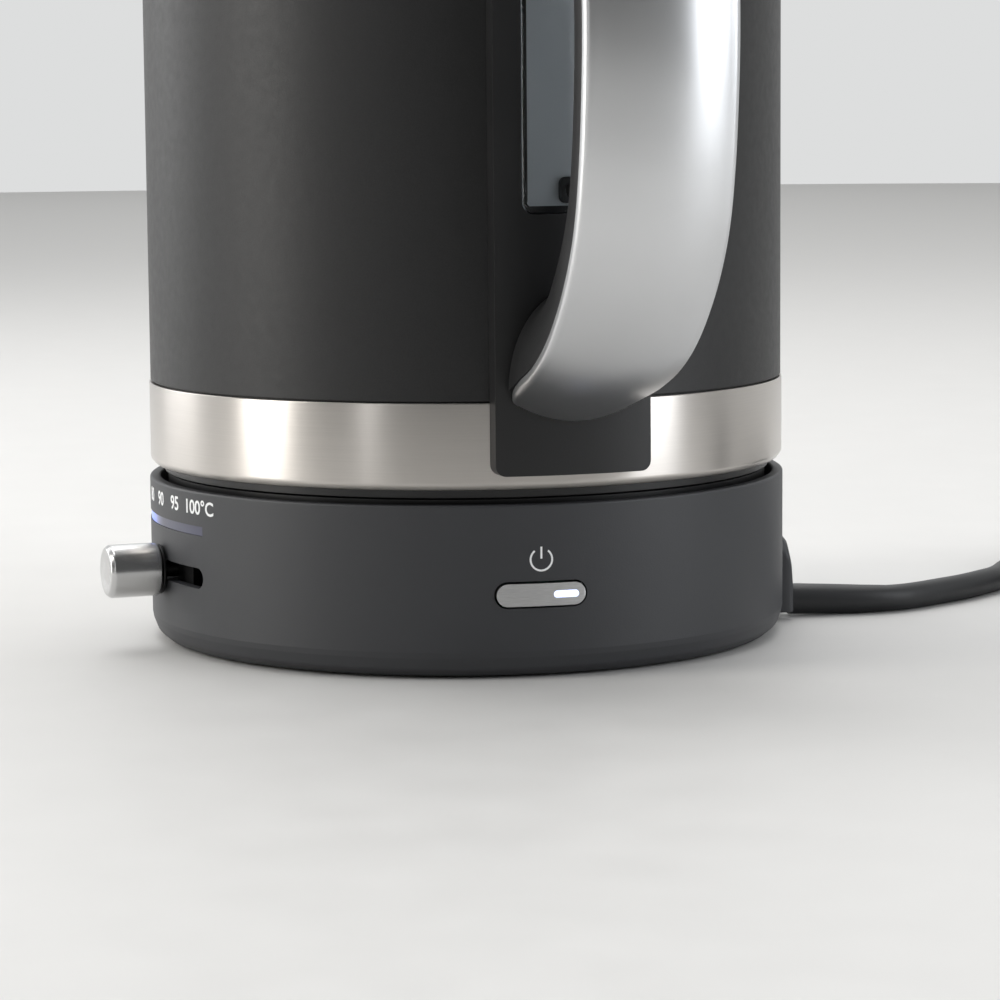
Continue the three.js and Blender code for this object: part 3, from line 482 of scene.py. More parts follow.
# Spark-textured ABS: a fine even grain of about 0.25 mm, drawn at 0.4 mm so that it shows.
grey_abs = moulded("abs_dark_grey_spark_textured", "#343538", "#393a3d", 0.4, 0.05, 0.5, 0.03)
housing = turned("base_shell", [
    (74.4, 0.8, 0.4), (76.6, 0.7, 0.6), (78.7, 2.4, 2.5), (79.75, 5.2, 1.5), (80, 6.6, 0.3),
    (80, 40.95, 0.6), (77.3, 41, 0.5), (77.2, 36.4, 0.6), (17.6, 36.4, 0.4), (17.6, 34, 0), (77.4, 34, 0),
    (77.4, 6.5, 0),
], grey_abs, "base", ["base_housing"], steps=240, smooth=32)
slot_half = SCALE_HALF - SLOT_END
slot_ends = [radial(SCALE_MIDDLE + side * slot_half, CONTROL_Z) for side in (-1, 1)]
cut(housing, ring_sector("tool", 70, 90, CONTROL_Z - SLOT_R, CONTROL_Z + SLOT_R, SCALE_MIDDLE, slot_half),
    *[drill(SLOT_R, 70, 90, end) for end in slot_ends],
    ring_sector("tool", 70, 90, LIGHT_LOW, LIGHT_HIGH, SCALE_MIDDLE, SCALE_HALF),
    prism("tool", bar(BUTTON_W, BUTTON_H, BUTTON_H / 2 - 0.01), 70, 90, place=BUTTON, arc=12),
    drill(5.6, 70, 90, radial(CORD_ANGLE, 9)), edge=0.22)

# ---- base bottom cover, feet and screws ----
# A flat ABS cover closes the base from below, held by three screws. Four rubber feet are pressed into it.
FEET = [(60, angle) for angle in (0, 90, 180, 270)]
SCREWS = [(62, angle) for angle in (45, 165, 285)]


def under_base(radius, angle):
    """A place on the underside: a radius in mm, and an angle in degrees from the button's."""
    a = math.radians(angle + BASE_TURN)
    return Matrix.Translation(Vector((radius * math.cos(a), radius * math.sin(a), 0)) * MM)


cover = turned("base_cover", [
    (0, 0.6, 0), (14, 0.6, 0.5), (14.6, 1.6, 0.3), (73.9, 1.6, 0.4), (73.9, 4, 0.3), (0, 4, 0),
], grey_abs, "base", ["base_bottom_cover"], steps=160)
cut(cover, *[drill(6.3, 0, 2.6, under_base(*at), 48) for at in FEET],
    *[drill(3.4, 0, 2.8, under_base(*at)) for at in SCREWS],
    *[drill(groove + 1.2, 1, 2.1, steps=160, inner=groove) for groove in (22, 34, 46)])

# Moulded natural rubber, blackened: matt, its tone drifting slowly between black and a slightly paler grey.
rubber = moulded("rubber_black_moulded", "#151515", "#242423", 0.7, 0.08, 0.78, 0.08)
# Zinc-plated steel, machine made: bright with faint turning marks.
zinc = marked("steel_zinc_plated", ["#bfc0bd"], 1400, 4, (0.2, 0.42), 0.3, 0.03, METAL)
for number, at in enumerate(FEET, 1):
    foot = turned(f"rubber_foot_{number}", [
        (0, 0.35, 0), (3.6, 0.35, 0.2), (4, 0, 0.1), (5.7, 0, 0.35), (6, 2.2, 0), (0, 2.2, 0),
    ], rubber, "base", [f"foot_{number}"], steps=64, place=under_base(*at))
for number, at in enumerate(SCREWS, 1):
    screw = turned(f"base_cover_screw_{number}", [
        (0, 1.3, 0), (0.9, 1.3, 0), (1.1, 1.72, 0), (2.4, 1.75, 0.5), (3, 2.3, 0.1), (3, 2.5, 0),
        (1.5, 2.5, 0), (1.5, 15.4, 0.3), (1, 16, 0), (0, 16, 0),
    ], zinc, "base", [f"base_screw_{number}"], steps=40, place=under_base(*at))

# ---- base connector, board and switch ----
# The middle plug carries the mains contacts in a ring groove and a centre hole, so the kettle may stand at
# any angle. The board, the switch and the slider's resistor card are fixed inside the base.
black_abs = moulded("abs_black_satin", "#0d0d0e", "#151516", 0.5, 0.03, 0.36, 0.05)
tower = turned("connector_tower", [
    (0, 24, 0), (20.9, 24, 0), (20.9, 33.7, 0), (17, 33.7, 0), (17, 47.5, 1.2), (11.2, 47.5, 0.5),
    (11, 36, 0), (8, 36, 0), (8, 47.5, 0.5), (3.4, 47.5, 0.4), (3.2, 36, 0), (0, 36, 0),
], black_abs, "base", ["base_connector"], steps=120)
contacts = turned("connector_contacts", [
    (8.25, 36.2, 0), (9.1, 36.2, 0), (9.1, 44.6, 0.3), (8.25, 44.6, 0.3),
], nickel, "base", steps=80)

# Fibreglass board under green solder mask, with a square maze of tracks under the lacquer.
board, board_shader, place = new_material("fibreglass_board_solder_masked")
tracks = node(board, "TexBrick", {
    "Vector": place, "Scale": 260, "Mortar Size": 0.06, "Color1": linear("#17583a"),
    "Color2": linear("#1d6a45"), "Mortar": linear("#3b9168")})
glaze = noise(board, place, 300, 3)
connect(board, board_shader, {
    "Base Color": tracks.outputs["Color"], "Roughness": remap(board, glaze, 0.25, 0.5),
    "Normal": bumped(board, tracks.outputs["Fac"], 0.4, 0.05)})


def finish_node(name, material):
    """Gives a CAD node that stays in view its material."""
    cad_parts[name].data.materials.clear()
    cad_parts[name].data.materials.append(material)


for name in ("control_board", "power_switch"):
    finish_node(name, board)
for name in ("slider_track", "cord_clamp"):
    finish_node(name, black_abs)

# ---- cord boss ----
# A thick boss on the back of the wall holds the strain relief. Its top is rounded and slopes down outward.
BOSS = [(79.3, 22.4, 8), (81.4, 22.0, 8), (82.6, 20.6, 7.9), (83.4, 17.5, 7.6), (83.8, 13, 7.2)]
boss_rings = []
for out, top, half in BOSS:
    outline = rounded([(-half, 1.9, 0.6), (half, 1.9, 0.6), (half, top, 5.6), (-half, top, 5.6)], 8)
    boss_rings.append([radial(CORD_ANGLE, 0, out) @ (Vector((p.x, p.y, 0)) * MM) / MM for p in outline])
boss = lofted("cord_boss_block", boss_rings, grey_abs, "base", ["cord_boss"], smooth=50)
cut(boss, drill(4.95, 70, 90, radial(CORD_ANGLE, 5.4), 48))

# ---- slider carriage, stem and knob ----
# The runner slides along the inside of the wall and hides the slot. The stem comes out through the slot to a
# black collar and a turned metal knob with a chamfered, slightly dished end.
KNOB_ANGLE = BASE_TURN - 82.4
KNOB = radial(KNOB_ANGLE, 19.7)
runner = ring_sector("slider_runner", 72.6, 76.4, 13.5, 26.5, KNOB_ANGLE, 9, black_abs, "temperature_slider",
                     ["slider_carriage"])
stem = turned("slider_stem_collar", [
    (0, 73.9, 0), (2.1, 73.9, 0), (2.1, 80.4, 0), (5.9, 80.5, 0.3), (6.2, 80.8, 0.2), (6.2, 81.2, 0.1),
    (2.1, 81.3, 0), (2.1, 84.5, 0), (0, 84.5, 0),
], black_abs, "temperature_slider", ["slider_stem"], steps=64, place=KNOB)

# Turned aluminium, satin chromed: bright, with rings from the lathe on the face and along the barrel.
knob_metal, knob_shader, place = new_material("aluminium_turned_satin_chromed")
into_knob = node(knob_metal, "Mapping", {"Vector": place, "Rotation": (0, 0, -math.radians(KNOB_ANGLE)),
                                         "Scale": (2600, 90, 90)}, vector_type="POINT")
rings = noise(knob_metal, into_knob.outputs[0], 1, 3)
haze = noise(knob_metal, place, 700, 4)
connect(knob_metal, knob_shader, {
    **METAL, "Base Color": linear("#cdcdcd"), "Roughness": remap(knob_metal, haze, 0.2, 0.27),
    "Normal": bumped(knob_metal, rings, 0.15, 0.006)})
knob = turned("slider_knob_metal", [
    (0, 84.6, 0), (2.3, 84.6, 0), (2.4, 81.5, 0), (6.2, 81.5, 0.3), (6.55, 81.9, 0.2), (6.55, 93.3, 0.8),
    (5.75, 94.4, 0.6), (5.1, 94.4, 0.4), (3, 94.05, 2), (0, 94.0, 0),
], knob_metal, "temperature_slider", ["slider_knob"], steps=128, place=KNOB, smooth=40)

# ---- light bar ----
# A curved clear-blue light guide behind the window in the wall. One light shines near the middle and fades
# along the bar, with the rest of the guide a dim lavender grey.
guide, guide_shader, place = new_material("acrylic_light_guide_frosted")
split = node(guide, "SeparateXYZ", {0: place})
angle = calc(guide, "ARCTAN2", split.outputs[1], split.outputs[0])
away = calc(guide, "ABSOLUTE", calc(guide, "ADD", angle, -math.radians(SCALE_MIDDLE - 3.2)))
fade = remap(guide, away, 1, 0, 0.02, 0.21, interpolation_type="SMOOTHSTEP")
connect(guide, guide_shader, {
    "Base Color": linear("#434558"), "Roughness": 0.3,
    "Emission Color": mixed(guide, fade, "#9a9dbb", "#7f9bff"),
    "Emission Strength": remap(guide, fade, 0.03, 1.1),
    "Normal": bumped(guide, noise(guide, place, 1500, 3), 0.3, 0.03)})
light_guide = ring_sector("scale_light_guide", 75.5, 79.75, LIGHT_LOW + 0.05, LIGHT_HIGH - 0.05,
                          SCALE_MIDDLE, SCALE_HALF - 0.1, guide, "base", ["light_bar"], steps=90)

# ---- printed numbers and power symbol ----
# White two-part ink, pad printed on the wall: seven temperatures above the light bar, and the standard
# power symbol above the button. The ink is a few hundredths of a millimetre thick.
ink, ink_shader, place = new_material("pad_printing_ink_white_painted_glow")
pigment = noise(ink, place, 2500, 2)
# The faint white emission is painted light: it brightens the print, which gives off no light of its own.
connect(ink, ink_shader, {"Base Color": mixed(ink, pigment, "#d9dadb", "#ececec"), "Roughness": 0.5,
                          "Emission Color": linear("#ffffff"), "Emission Strength": 0.12})


def print_on_wall(name, mesh, angle):
    """Wraps a flat mesh in mm round the base wall, its X along the wall from an angle in degrees."""
    for vertex in mesh.vertices:
        x, y, z = vertex.co
        a = math.radians(angle) + x / BASE_R
        r = BASE_R + 0.02 + (0.03 if z > 0 else 0)
        vertex.co = Vector((r * math.cos(a), r * math.sin(a), y)) * MM
    made = shown(name, mesh)
    mesh.materials.clear()
    mesh.materials.append(ink)
    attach(made, "base")


DIGIT_HEIGHT, DIGIT_BASE = 3.45, 35.55
CAPITAL_SHARE, DIGIT_STRETCH = 0.73, 1.09  # of the built-in face: a capital's height, and its widening
STOPS = [("50", -22.8), ("60", -15.2), ("70", -7.6), ("80", 0), ("90", 7.4), ("95", 14.9), ("100°C", 23.8)]
for word, turn in STOPS:
    letters = bpy.data.curves.new("letters", "FONT")
    letters.body = word
    letters.size = DIGIT_HEIGHT / CAPITAL_SHARE
    letters.align_x = "CENTER"
    letters.offset = 0.09
    letters.space_character = 0.98
    letters.extrude = 0.01
    letters.resolution_u = 4
    holder = shown("letters", letters)
    bpy.context.view_layer.update()
    flat = bpy.data.meshes.new_from_object(holder)
    bpy.data.objects.remove(holder)
    for vertex in flat.vertices:
        vertex.co.x *= DIGIT_STRETCH
        vertex.co.y += DIGIT_BASE
    print_on_wall("scale_number_" + word.replace("°C", "_C"), flat, SCALE_MIDDLE + turn)

symbol = bmesh.new()
strokes = []
for k in range(41):
    a = math.radians(128 + 284 * k / 40)
    strokes.append([(r * math.cos(a), 28.1 + r * math.sin(a)) for r in (2.35, 2.8)])
bars = [[(-0.23, 28.3), (0.23, 28.3)], [(-0.23, 31.1), (0.23, 31.1)]]
for run in (strokes, bars):
    layers = [[[symbol.verts.new((x, y, z)) for x, y in pair] for pair in run] for z in (0, 0.02)]
    for i in range(len(run) - 1):
        low, high = layers
        for corners in (
            (high[i][0], high[i][1], high[i + 1][1], high[i + 1][0]),
            (low[i][1], low[i][0], low[i + 1][0], low[i + 1][1]),
            (low[i][0], high[i][0], high[i + 1][0], low[i + 1][0]),
            (high[i][1], low[i][1], low[i + 1][1], high[i + 1][1]),
        ):
            symbol.faces.new(corners)
    for i, flip in ((0, False), (-1, True)):
        cap = [layers[0][i][0], layers[0][i][1], layers[1][i][1], layers[1][i][0]]
        symbol.faces.new(cap[::-1] if flip else cap)
bmesh.ops.recalc_face_normals(symbol, faces=symbol.faces)
symbol_mesh = bpy.data.meshes.new("power_symbol")
symbol.to_mesh(symbol_mesh)
symbol.free()
print_on_wall("power_symbol", symbol_mesh, BASE_TURN)

# ---- power button ----
# A stadium-shaped cap in brushed aluminium with a small light window at one end, pressed in against a coil
# spring. The cap's face follows the wall.
LED = BUTTON @ Matrix.Translation((5.9 * MM, 0, 0))
button_metal = marked("aluminium_brushed_lengthwise", ["#a9a9aa", "#d2d2d2"], 1, 3, (0.28, 0.48), 0.5, 0.02,
                      METAL, lines=(400, 400, 6500))
cap = prism("power_button_cap", bar(BUTTON_W - 1, BUTTON_H - 1, BUTTON_H / 2 - 0.51), 75.5, 84,
            button_metal, "power_button", ["power_button"], place=BUTTON, arc=14)
cut(cap, drill(95, 10, 30, steps=360, inner=80.45),
    prism("tool", bar(6.1, 1.7, 0.84), 70, 90, place=LED, arc=10), edge=0.18)
led, led_shader, place = new_material("polycarbonate_lens_lit_white")
connect(led, led_shader, {
    "Base Color": linear("#dfe6ff"), "Roughness": 0.3, "Emission Color": linear("#c9d6ff"),
    "Emission Strength": remap(led, noise(led, place, 1200, 2), 1.1, 1.6)})
led_lens = prism("power_button_lens", bar(6, 1.6, 0.79), 75, 80.2, led, "power_button",
                 ["power_button_light"], place=LED, arc=10)


def coil_spring(name, radius, wire, low, high, turns, material, body, replaces, place):
    """A spring of round wire, its ends closed, in mm."""
    rings, count = [], int(turns * 20)
    for k in range(count + 1):
        a = math.tau * turns * k / count
        z = low + wire + (high - low - 2 * wire) * k / count
        centre = Vector((radius * math.cos(a), radius * math.sin(a), z))
        out = Vector((math.cos(a), math.sin(a), 0))
        rings.append([centre + out * wire * math.cos(b) + Vector((0, 0, wire * math.sin(b)))
                      for b in [math.tau * j / 8 for j in range(8)]])
    made = lofted(name, rings, material, body, replaces, smooth=60)
    made.data.transform(place)
    return made


button_coil = coil_spring("power_button_coil", 2.3, 0.22, 70.6, 76, 5, zinc, "base", ["power_button_spring"],
                          BUTTON)
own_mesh(button_coil)

# ---- kettle socket and skirt ----
# The round socket under the kettle drops over the base's plug. The black skirt closes the bottom of the
# kettle and stands inside the base's rim, where it shows as a thin dark step under the steel band.
socket = turned("kettle_socket_ring", [
    (17.5, 36.8, 0.3), (19.6, 36.8, 0.3), (19.6, 46, 0), (21.8, 46, 0), (21.8, 51, 0), (0, 51, 0),
    (0, 39.5, 0), (1.6, 39.5, 0.5), (1.6, 48.2, 0), (8.7, 48.2, 0), (8.7, 39.5, 0.4), (10.3, 39.5, 0.4),
    (10.3, 48.2, 0), (17.5, 48.2, 0),
], black_abs, "kettle_socket", ["kettle_connector"], steps=120)
skirt = turned("kettle_skirt", [
    (20, 37, 0.4), (75.4, 37, 1.0), (75.4, 41.9, 0.2), (76.2, 42.3, 0.25), (76.2, 56, 0), (74.2, 56, 0),
    (74.2, 39.2, 0), (20, 39.2, 0),
], black_abs, "kettle", ["bottom_skirt"], steps=240)

# ---- steel band ----
# A strip of 18/8 stainless steel rolled round the foot of the wall, its lower edge turned in. It is brushed
# around, so it shows fine level lines and stands of light across them.
band_steel, band_shader, place = new_material("stainless_steel_brushed_around")
fine_lines = noise(band_steel, stretched(band_steel, place, (60, 60, 6000)), 1, 2)
wide_lines = noise(band_steel, stretched(band_steel, place, (30, 30, 3200)), 1, 2)
lines = calc(band_steel, "MULTIPLY", calc(band_steel, "ADD", fine_lines, wide_lines), 0.5)
band_way = node(band_steel, "Tangent", direction_type="RADIAL", axis="Z")
connect(band_steel, band_shader, {
    **METAL, "Base Color": mixed(band_steel, lines, "#c0bcb7", "#cfcac5"),
    "Roughness": remap(band_steel, lines, 0.27, 0.37),
    "Anisotropic": 0.75, "Anisotropic Rotation": 0.25, "Tangent": band_way.outputs[0],
    "Normal": bumped(band_steel, lines, 0.15, 0.006)})
band = turned("steel_band_rolled", [
    (77.2, 44.35, 0.3), (78.6, 44.3, 0.8), (79.7, 45.7, 1.4), (79.7, 64.6, 0.25), (78.6, 64.6, 0),
    (78.6, 46.4, 0.6), (77.2, 45.3, 0.3),
], band_steel, "kettle", ["steel_band"], steps=280)

# ---- body wall ----
# Deep-drawn steel under a matt black powder coat. The coat has a fine even grain, about 0.3 mm across, and
# takes a broad soft sheen where the light grazes it.
powder, powder_shader, place = new_material("powder_coat_black_fine_texture")
grain = noise(powder, place, 2600, 3, Roughness=0.6)
orange_peel = noise(powder, place, 420, 2)
speck = remap(powder, grain, 0, 1, 0.3, 0.75)
connect(powder, powder_shader, {
    "Base Color": mixed(powder, speck, "#0f0f10", "#1a1a1b"),
    "Roughness": remap(powder, orange_peel, 0.4, 0.54),
    "Normal": bumped(powder, calc(powder, "ADD", grain, orange_peel), 0.5, 0.045)})


def shoulder(offset, steps=24):
    """The wall's outer line from the straight part to the neck, moved in or out."""
    return [(79.4 - 8.9 * (i / steps) ** 2 + offset, 172 + 48 * i / steps, 0) for i in range(steps + 1)]


def spout_cone(name, inset, low, high, material=None, body=None, replaces=()):
    """The leaning half cone of the spout, smaller by an inset in mm, between two heights."""
    rings = []
    for z in (low, high):
        t = (z - 166) / 66
        radius, middle = 3.4 + 23.6 * t - inset, -76 + 8 * t
        around = [math.tau * k / 96 for k in range(96)]
        rings.append([(middle + radius * math.cos(a), radius * math.sin(a), z) for a in around])
    return lofted(name, rings, material, body, replaces)


def hole(z, radius=3.3, out=90):
    """A round tool through the wall under the handle at that height."""
    return drill(radius, 60, out, radial(0, z))


def within_wall(foot, offset, head, steps=280):
    """A tool that fills the inside of the wall, between the corners at its foot and at its head."""
    return turned("tool", foot + shoulder(offset) + head, steps=steps)


PORTS = [("lower", 113.3), ("upper", 194)]
SCREW_HOLES = [("lower", 76), ("upper", 217.5)]
PROBE = Matrix.Translation((-0.028, 0, 0))
wall_out = [(78.3, 50, 0), (78.3, 64.9, 0), (79.4, 64.9, 0.4)] + shoulder(0)
wall_in = shoulder(-0.8)[::-1] + [(78.6, 65.7, 0), (77.5, 65.7, 0), (77.5, 50, 0)]
wall = turned("kettle_wall", wall_out + wall_in, powder, "kettle", ["body_wall"], steps=280)
cut(wall, *[hole(z) for _, z in PORTS], spout_cone("tool", 2.4, 176, 240))

# ---- inner vessel, heating plate and sensor ----
# The vessel is drawn from stainless sheet, satin inside with faint spinning marks, and joined to the wall at
# the neck. The aluminium plate with its cast-in element is soldered under the floor.
drawn = marked("stainless_steel_deep_drawn", ["#c3c1bd"], 1, 4, (0.2, 0.36), 0.3, 0.03,
               {**METAL, "Anisotropic": 0.3}, lines=(18, 18, 1800))
vessel_out = [(0, 58.4, 0), (76.5, 58.4, 6), (76.5, 150, 0)] + shoulder(-1.9)[2:]
vessel_in = shoulder(-2.7)[:1:-1] + [(75.7, 150, 0), (75.7, 59.2, 5.2), (0, 59.2, 0)]
vessel = turned("inner_vessel_drawn", vessel_out + vessel_in, drawn, "kettle", ["inner_vessel"], steps=200)
cut(vessel, *[hole(z) for _, z in PORTS], spout_cone("tool", 2.4, 176, 240), drill(3.3, 50, 70, PROBE))
# Cast aluminium, left as it comes from the mould: grey, dull and slightly pitted.
cast = marked("aluminium_cast_plain", ["#a3a3a2"], 600, 5, (0.45, 0.7), 0.5, 0.1, METAL)
heater = turned("heating_plate_cast", [
    (0, 54.1, 0), (39.6, 54.1, 1), (41, 49.6, 1), (44, 48.6, 1.6), (47, 49.6, 1), (48.4, 54.1, 1),
    (62, 54.1, 0.5), (62, 58.1, 0.3), (0, 58.1, 0),
], cast, "kettle", ["heater_plate"], steps=120)
cut(heater, drill(3.3, 40, 70, PROBE))
sensor = turned("temperature_probe", [
    (0, 48, 0), (5.5, 48, 0.3), (5.5, 52.5, 0.3), (3, 52.5, 0), (3, 63.4, 1.2), (0, 63.4, 0),
], drawn, "kettle", ["temperature_sensor"], steps=64, place=PROBE)

# ---- rim collar ----
# A black collar pressed into the neck makes the pouring mouth and the seat for the lid's seal. It carries
# the two ears of the hinge at the back.


def fuse(made, *others):
    """Joins other closed pieces onto a piece."""
    for other in others:
        step = made.modifiers.new("join", "BOOLEAN")
        step.operation = "UNION"
        step.solver = "EXACT"
        step.object = other
    settle(made)
    for other in others:
        bpy.data.objects.remove(other)


def block(x0, x1, y0, y1, z0, z1, edge=0.0):
    """A block between six planes in mm, its upright edges rounded by a radius."""
    return prism("block", box(x0, x1, y0, y1, edge), z0, z1)


HINGE_X, HINGE_Z = 74, 234
LATCH_ROOM = (-6.3, 6.3, 222.3, 225.5)
ACROSS = Matrix.Translation(Vector((HINGE_X, 0, HINGE_Z)) * MM) @ Matrix.Rotation(-math.pi / 2, 4, "X")
collar = turned("mouth_collar", [
    (61, 214, 0.4), (66.6, 214, 0), (66.6, 220.3, 0), (70.5, 220.3, 0.3), (70.4, 229, 2), (61, 229, 0.8),
], black_abs, "kettle", ["rim_collar"], steps=200)
ears = [block(67.5, 79, side - 2.5, side + 2.5, 226, 239, 0.8) for side in (-10, 10)]
fuse(collar, block(66, 79, -12.5, 12.5, 222, 228.6, 0.8), *ears)
cut(collar, drill(1.8, -20, 20, ACROSS), drill(5, -7.3, 7.3, ACROSS, 48), spout_cone("tool", 2.4, 176, 240),
    block(55, 82, *LATCH_ROOM))

# ---- spout and filter ----
# A short V spout drawn from the same steel and coated with the wall. Behind it a slotted black panel holds
# back limescale.
lip = spout_cone("spout_lip", 0, 167, 229, powder, "kettle", ["spout"])
cut(lip, within_wall([(0, 40, 0), (79.7, 40, 0)], 0.3, [(70.8, 232, 0), (0, 232, 0)]),
    spout_cone("tool", 1.8, 168, 240), edge=0.3)
FILTER = radial(180, 195.7)
panel = prism("limescale_panel", bar(40, 35.4, 1.5), 57, 58.4, black_abs, "kettle", ["spout_filter"],
              place=FILTER)
cut(panel, *[prism("tool", box(x - 2, x + 2, -13.7, 13.3, 0.6), 50, 60, place=FILTER)
             for x in (-14, -7, 0, 7, 14)])

# ---- handle plate ----
# A long satin black ABS plate carries the handle and frames the sight gauge. It follows the round wall and
# runs down over the band, with softly rounded edges.
PLATE_LOW, PLATE_HIGH, PLATE_FRONT = 48, 243.8, 84
GAUGE_LOW, GAUGE_HIGH = 108.2, 200
black_plate = moulded("abs_black_satin_plate", "#141415", "#19191a", 0.45, 0.035, 0.4, 0.04)
BACK = radial(0, 0)
plate = prism("handle_backplate", [
    (-19, PLATE_LOW, 2.4), (19, PLATE_LOW, 2.4), (19, PLATE_HIGH, 8), (-19, PLATE_HIGH, 8),
], 60, 90, black_plate, "kettle", ["handle_plate"], place=BACK)
cut(plate, drill(120, 30, 260, steps=480, inner=PLATE_FRONT), edge=0.9)
cut(plate, within_wall([(0, 30, 0), (80, 30, 0), (80, 64.9, 0), (79.7, 64.9, 0)], 0.3,
                       [(70.8, 229.3, 0), (0, 229.3, 0)]),
    prism("tool", box(-12.6, 12.6, GAUGE_LOW - 0.3, GAUGE_HIGH + 0.3, 2.9), 50, 95, place=BACK),
    block(50, 79.3, -13, 13, 221.7, 260), block(50, 79.3, -30, 30, 228.7, 260),
    block(50, 90, *LATCH_ROOM), *[hole(z, 1.8) for _, z in SCREW_HOLES])

# ---- sight gauge ----
# A clear polycarbonate box in the plate shows the water. It is open to the kettle through two black silicone
# seals, one low and one high, and stands against a pale backing.
clear = marked("polycarbonate_clear_moulded", ["#f2f5f7"], 60, 2, (0.01, 0.04), 0.1, 0.2,
               {"Transmission Weight": 1, "IOR": 1.58})


def gauge_outline(grow):
    """The gauge's corners, moved out by that many mm."""
    return box(-12.3 - grow, 12.3 + grow, GAUGE_LOW - grow, GAUGE_HIGH + grow, 2.6 + grow)


gauge = prism("sight_gauge_window", gauge_outline(0), 74, 90, clear, "kettle", ["sight_window"], place=BACK,
              arc=10)
cut(gauge, drill(120, 90, 220, steps=480, inner=84.1), edge=0.5)
hollow = prism("tool", gauge_outline(-1.3), 60, 90, place=BACK, arc=10)
cut(hollow, drill(120, 90, 220, steps=480, inner=82.7))
cut(gauge, hollow, within_wall([(0, 60, 0), (80, 60, 0)], 0.6, [(0, 220, 0)], 240))

pale = moulded("polypropylene_pale_grey", "#c2c6c9", "#d3d6d8", 0.6, 0.05, 0.5)
backing = prism("sight_gauge_backing", gauge_outline(-1.5), 76, 80.3, pale, "kettle", place=BACK)
cut(backing, within_wall([(0, 60, 0), (79.75, 60, 0)], 0.35, [(0, 220, 0)], 240),
    *[hole(z, 2.9) for _, z in PORTS])
silicone = moulded("silicone_black_moulded", "#0e0e0f", "#19191a", 0.6, 0.05, 0.6)
for name, z in PORTS:
    port = prism(f"gauge_seal_{name}", bar(6, 6, 1.6), 73.6, 82, silicone, "kettle", [f"gauge_port_{name}"],
                 place=radial(0, z))
    cut(port, hole(z, 1.8), edge=0.3)

# ---- handle shell ----
# A C-shaped cover in cast zinc, satin plated: a crowned outer face with a crisp edge and a narrower side
# that gets shallow at both roots. The plating is silky, with a very fine blasted grain.
EDGE = [
    (84.6, 65.3), (89.4, 67), (94.8, 69), (104.5, 73), (113.9, 78.9), (122.1, 86.7), (129.1, 96),
    (134.2, 106.4), (137.3, 118.8), (139, 131.8), (139.9, 145), (139.8, 158.4), (138.9, 172), (137, 185.4),
    (133.6, 198.6), (128.2, 211.4), (119.6, 223), (106.6, 231.4), (95, 236.2), (84.6, 238.6),
]
INNER = [
    (84.6, 91.2), (87.4, 91), (90.8, 91.8), (95, 94), (99.6, 97.9), (103.4, 103.3), (107, 109.4),
    (109.8, 115.6), (111.6, 123.8), (112.7, 134.4), (113.3, 145.8), (113.2, 157.4), (112.6, 169.3),
    (111.5, 180.3), (109.5, 190.4), (106.8, 199.2), (102.8, 205.8), (96.4, 210.6), (90.2, 212.6),
    (84.6, 212.6),
]
SHELL_HALF, SHELL_T, SHELL_SIDE, CROWN = 17.65, 2.2, 2.2, 4.8
ROOT_X = 84.6


def half_width(u):
    """Half the shell's width: it narrows a little where the handle meets the plate."""
    close = max(0, 1 - (between(EDGE, u).x - ROOT_X) / 12)
    return SHELL_HALF - 1.85 * close ** 2


def crown(y, half=SHELL_HALF):
    return CROWN * (1 - (y / half) ** 2)


def handle_ring(u, section, nearest):
    """Carries a section of (across, above the edge line) points to its place along the handle."""
    edge, inner = between(EDGE, u), between(INNER, u)
    up = (edge - inner).normalized()
    return [(max(edge.x + up.x * h, nearest(y)), y, edge.y + up.y * h) for y, h in section]


def shell_section(u):
    """The shell's outline: outside from one side over the crown to the other, then back inside."""
    w = half_width(u)
    v, soft, low, last = w - SHELL_T, 1.7, -0.7, math.radians(65)
    lip = crown(w - soft, w)
    corner = []
    for a in [last * k / 7 for k in range(7)]:
        across = -w + soft * (1 - math.cos(a)) / (1 - math.cos(last))
        corner.append((across, low + (lip - low) * math.sin(a) / math.sin(last)))
    face = [(y, crown(y, w)) for y in [(w - soft) * (k / 14 - 1) for k in range(29)]]
    side = [(-w + 0.4, -SHELL_SIDE), (-w, -SHELL_SIDE + 0.4)] + corner
    inside = [(y, crown(y, w) - SHELL_T) for y in [v * (1 - k / 8) for k in range(17)]]
    return side + face + [(-y, h) for y, h in side[::-1]] + [(v, -SHELL_SIDE)] + inside + [(-v, -SHELL_SIDE)]


# Zinc, satin plated. The 0.2 mm blasted grain is drawn at 0.35 mm so that it shows.
satin, satin_shader, place = new_material("zinc_cast_satin_plated")
blasted = noise(satin, place, 2900, 2)
cloud = noise(satin, place, 30, 3)
connect(satin, satin_shader, {
    **METAL, "Base Color": mixed(satin, cloud, "#d0d1d3", "#dddedf"),
    "Roughness": remap(satin, cloud, 0.3, 0.36, 0.3, 0.7),
    "Normal": bumped(satin, blasted, 0.2, 0.015)})
shell_rings = [handle_ring(k / 150, shell_section(k / 150), lambda y: PLATE_FRONT + 0.5) for k in range(151)]
shell = lofted("handle_shell_cast", shell_rings, satin, "kettle", ["handle_shell"], smooth=38)
BUTTON_X = 108


def cap_corners(grow):
    """The lid button's corners, moved out by that many mm."""
    return box(BUTTON_X - 7.8 - grow, BUTTON_X + 7.8 + grow, -5.8 - grow, 5.8 + grow, 4.5 + grow)


cut(shell, prism("tool", cap_corners(0.5), 215, 260, arc=12), edge=0.3)

# ---- handle grip and its screws ----
# The black grip fills the shell and rounds off for the fingers. At each root it flares out onto the plate
# with a soft hollow, and a screw at each end pulls it to the plate.


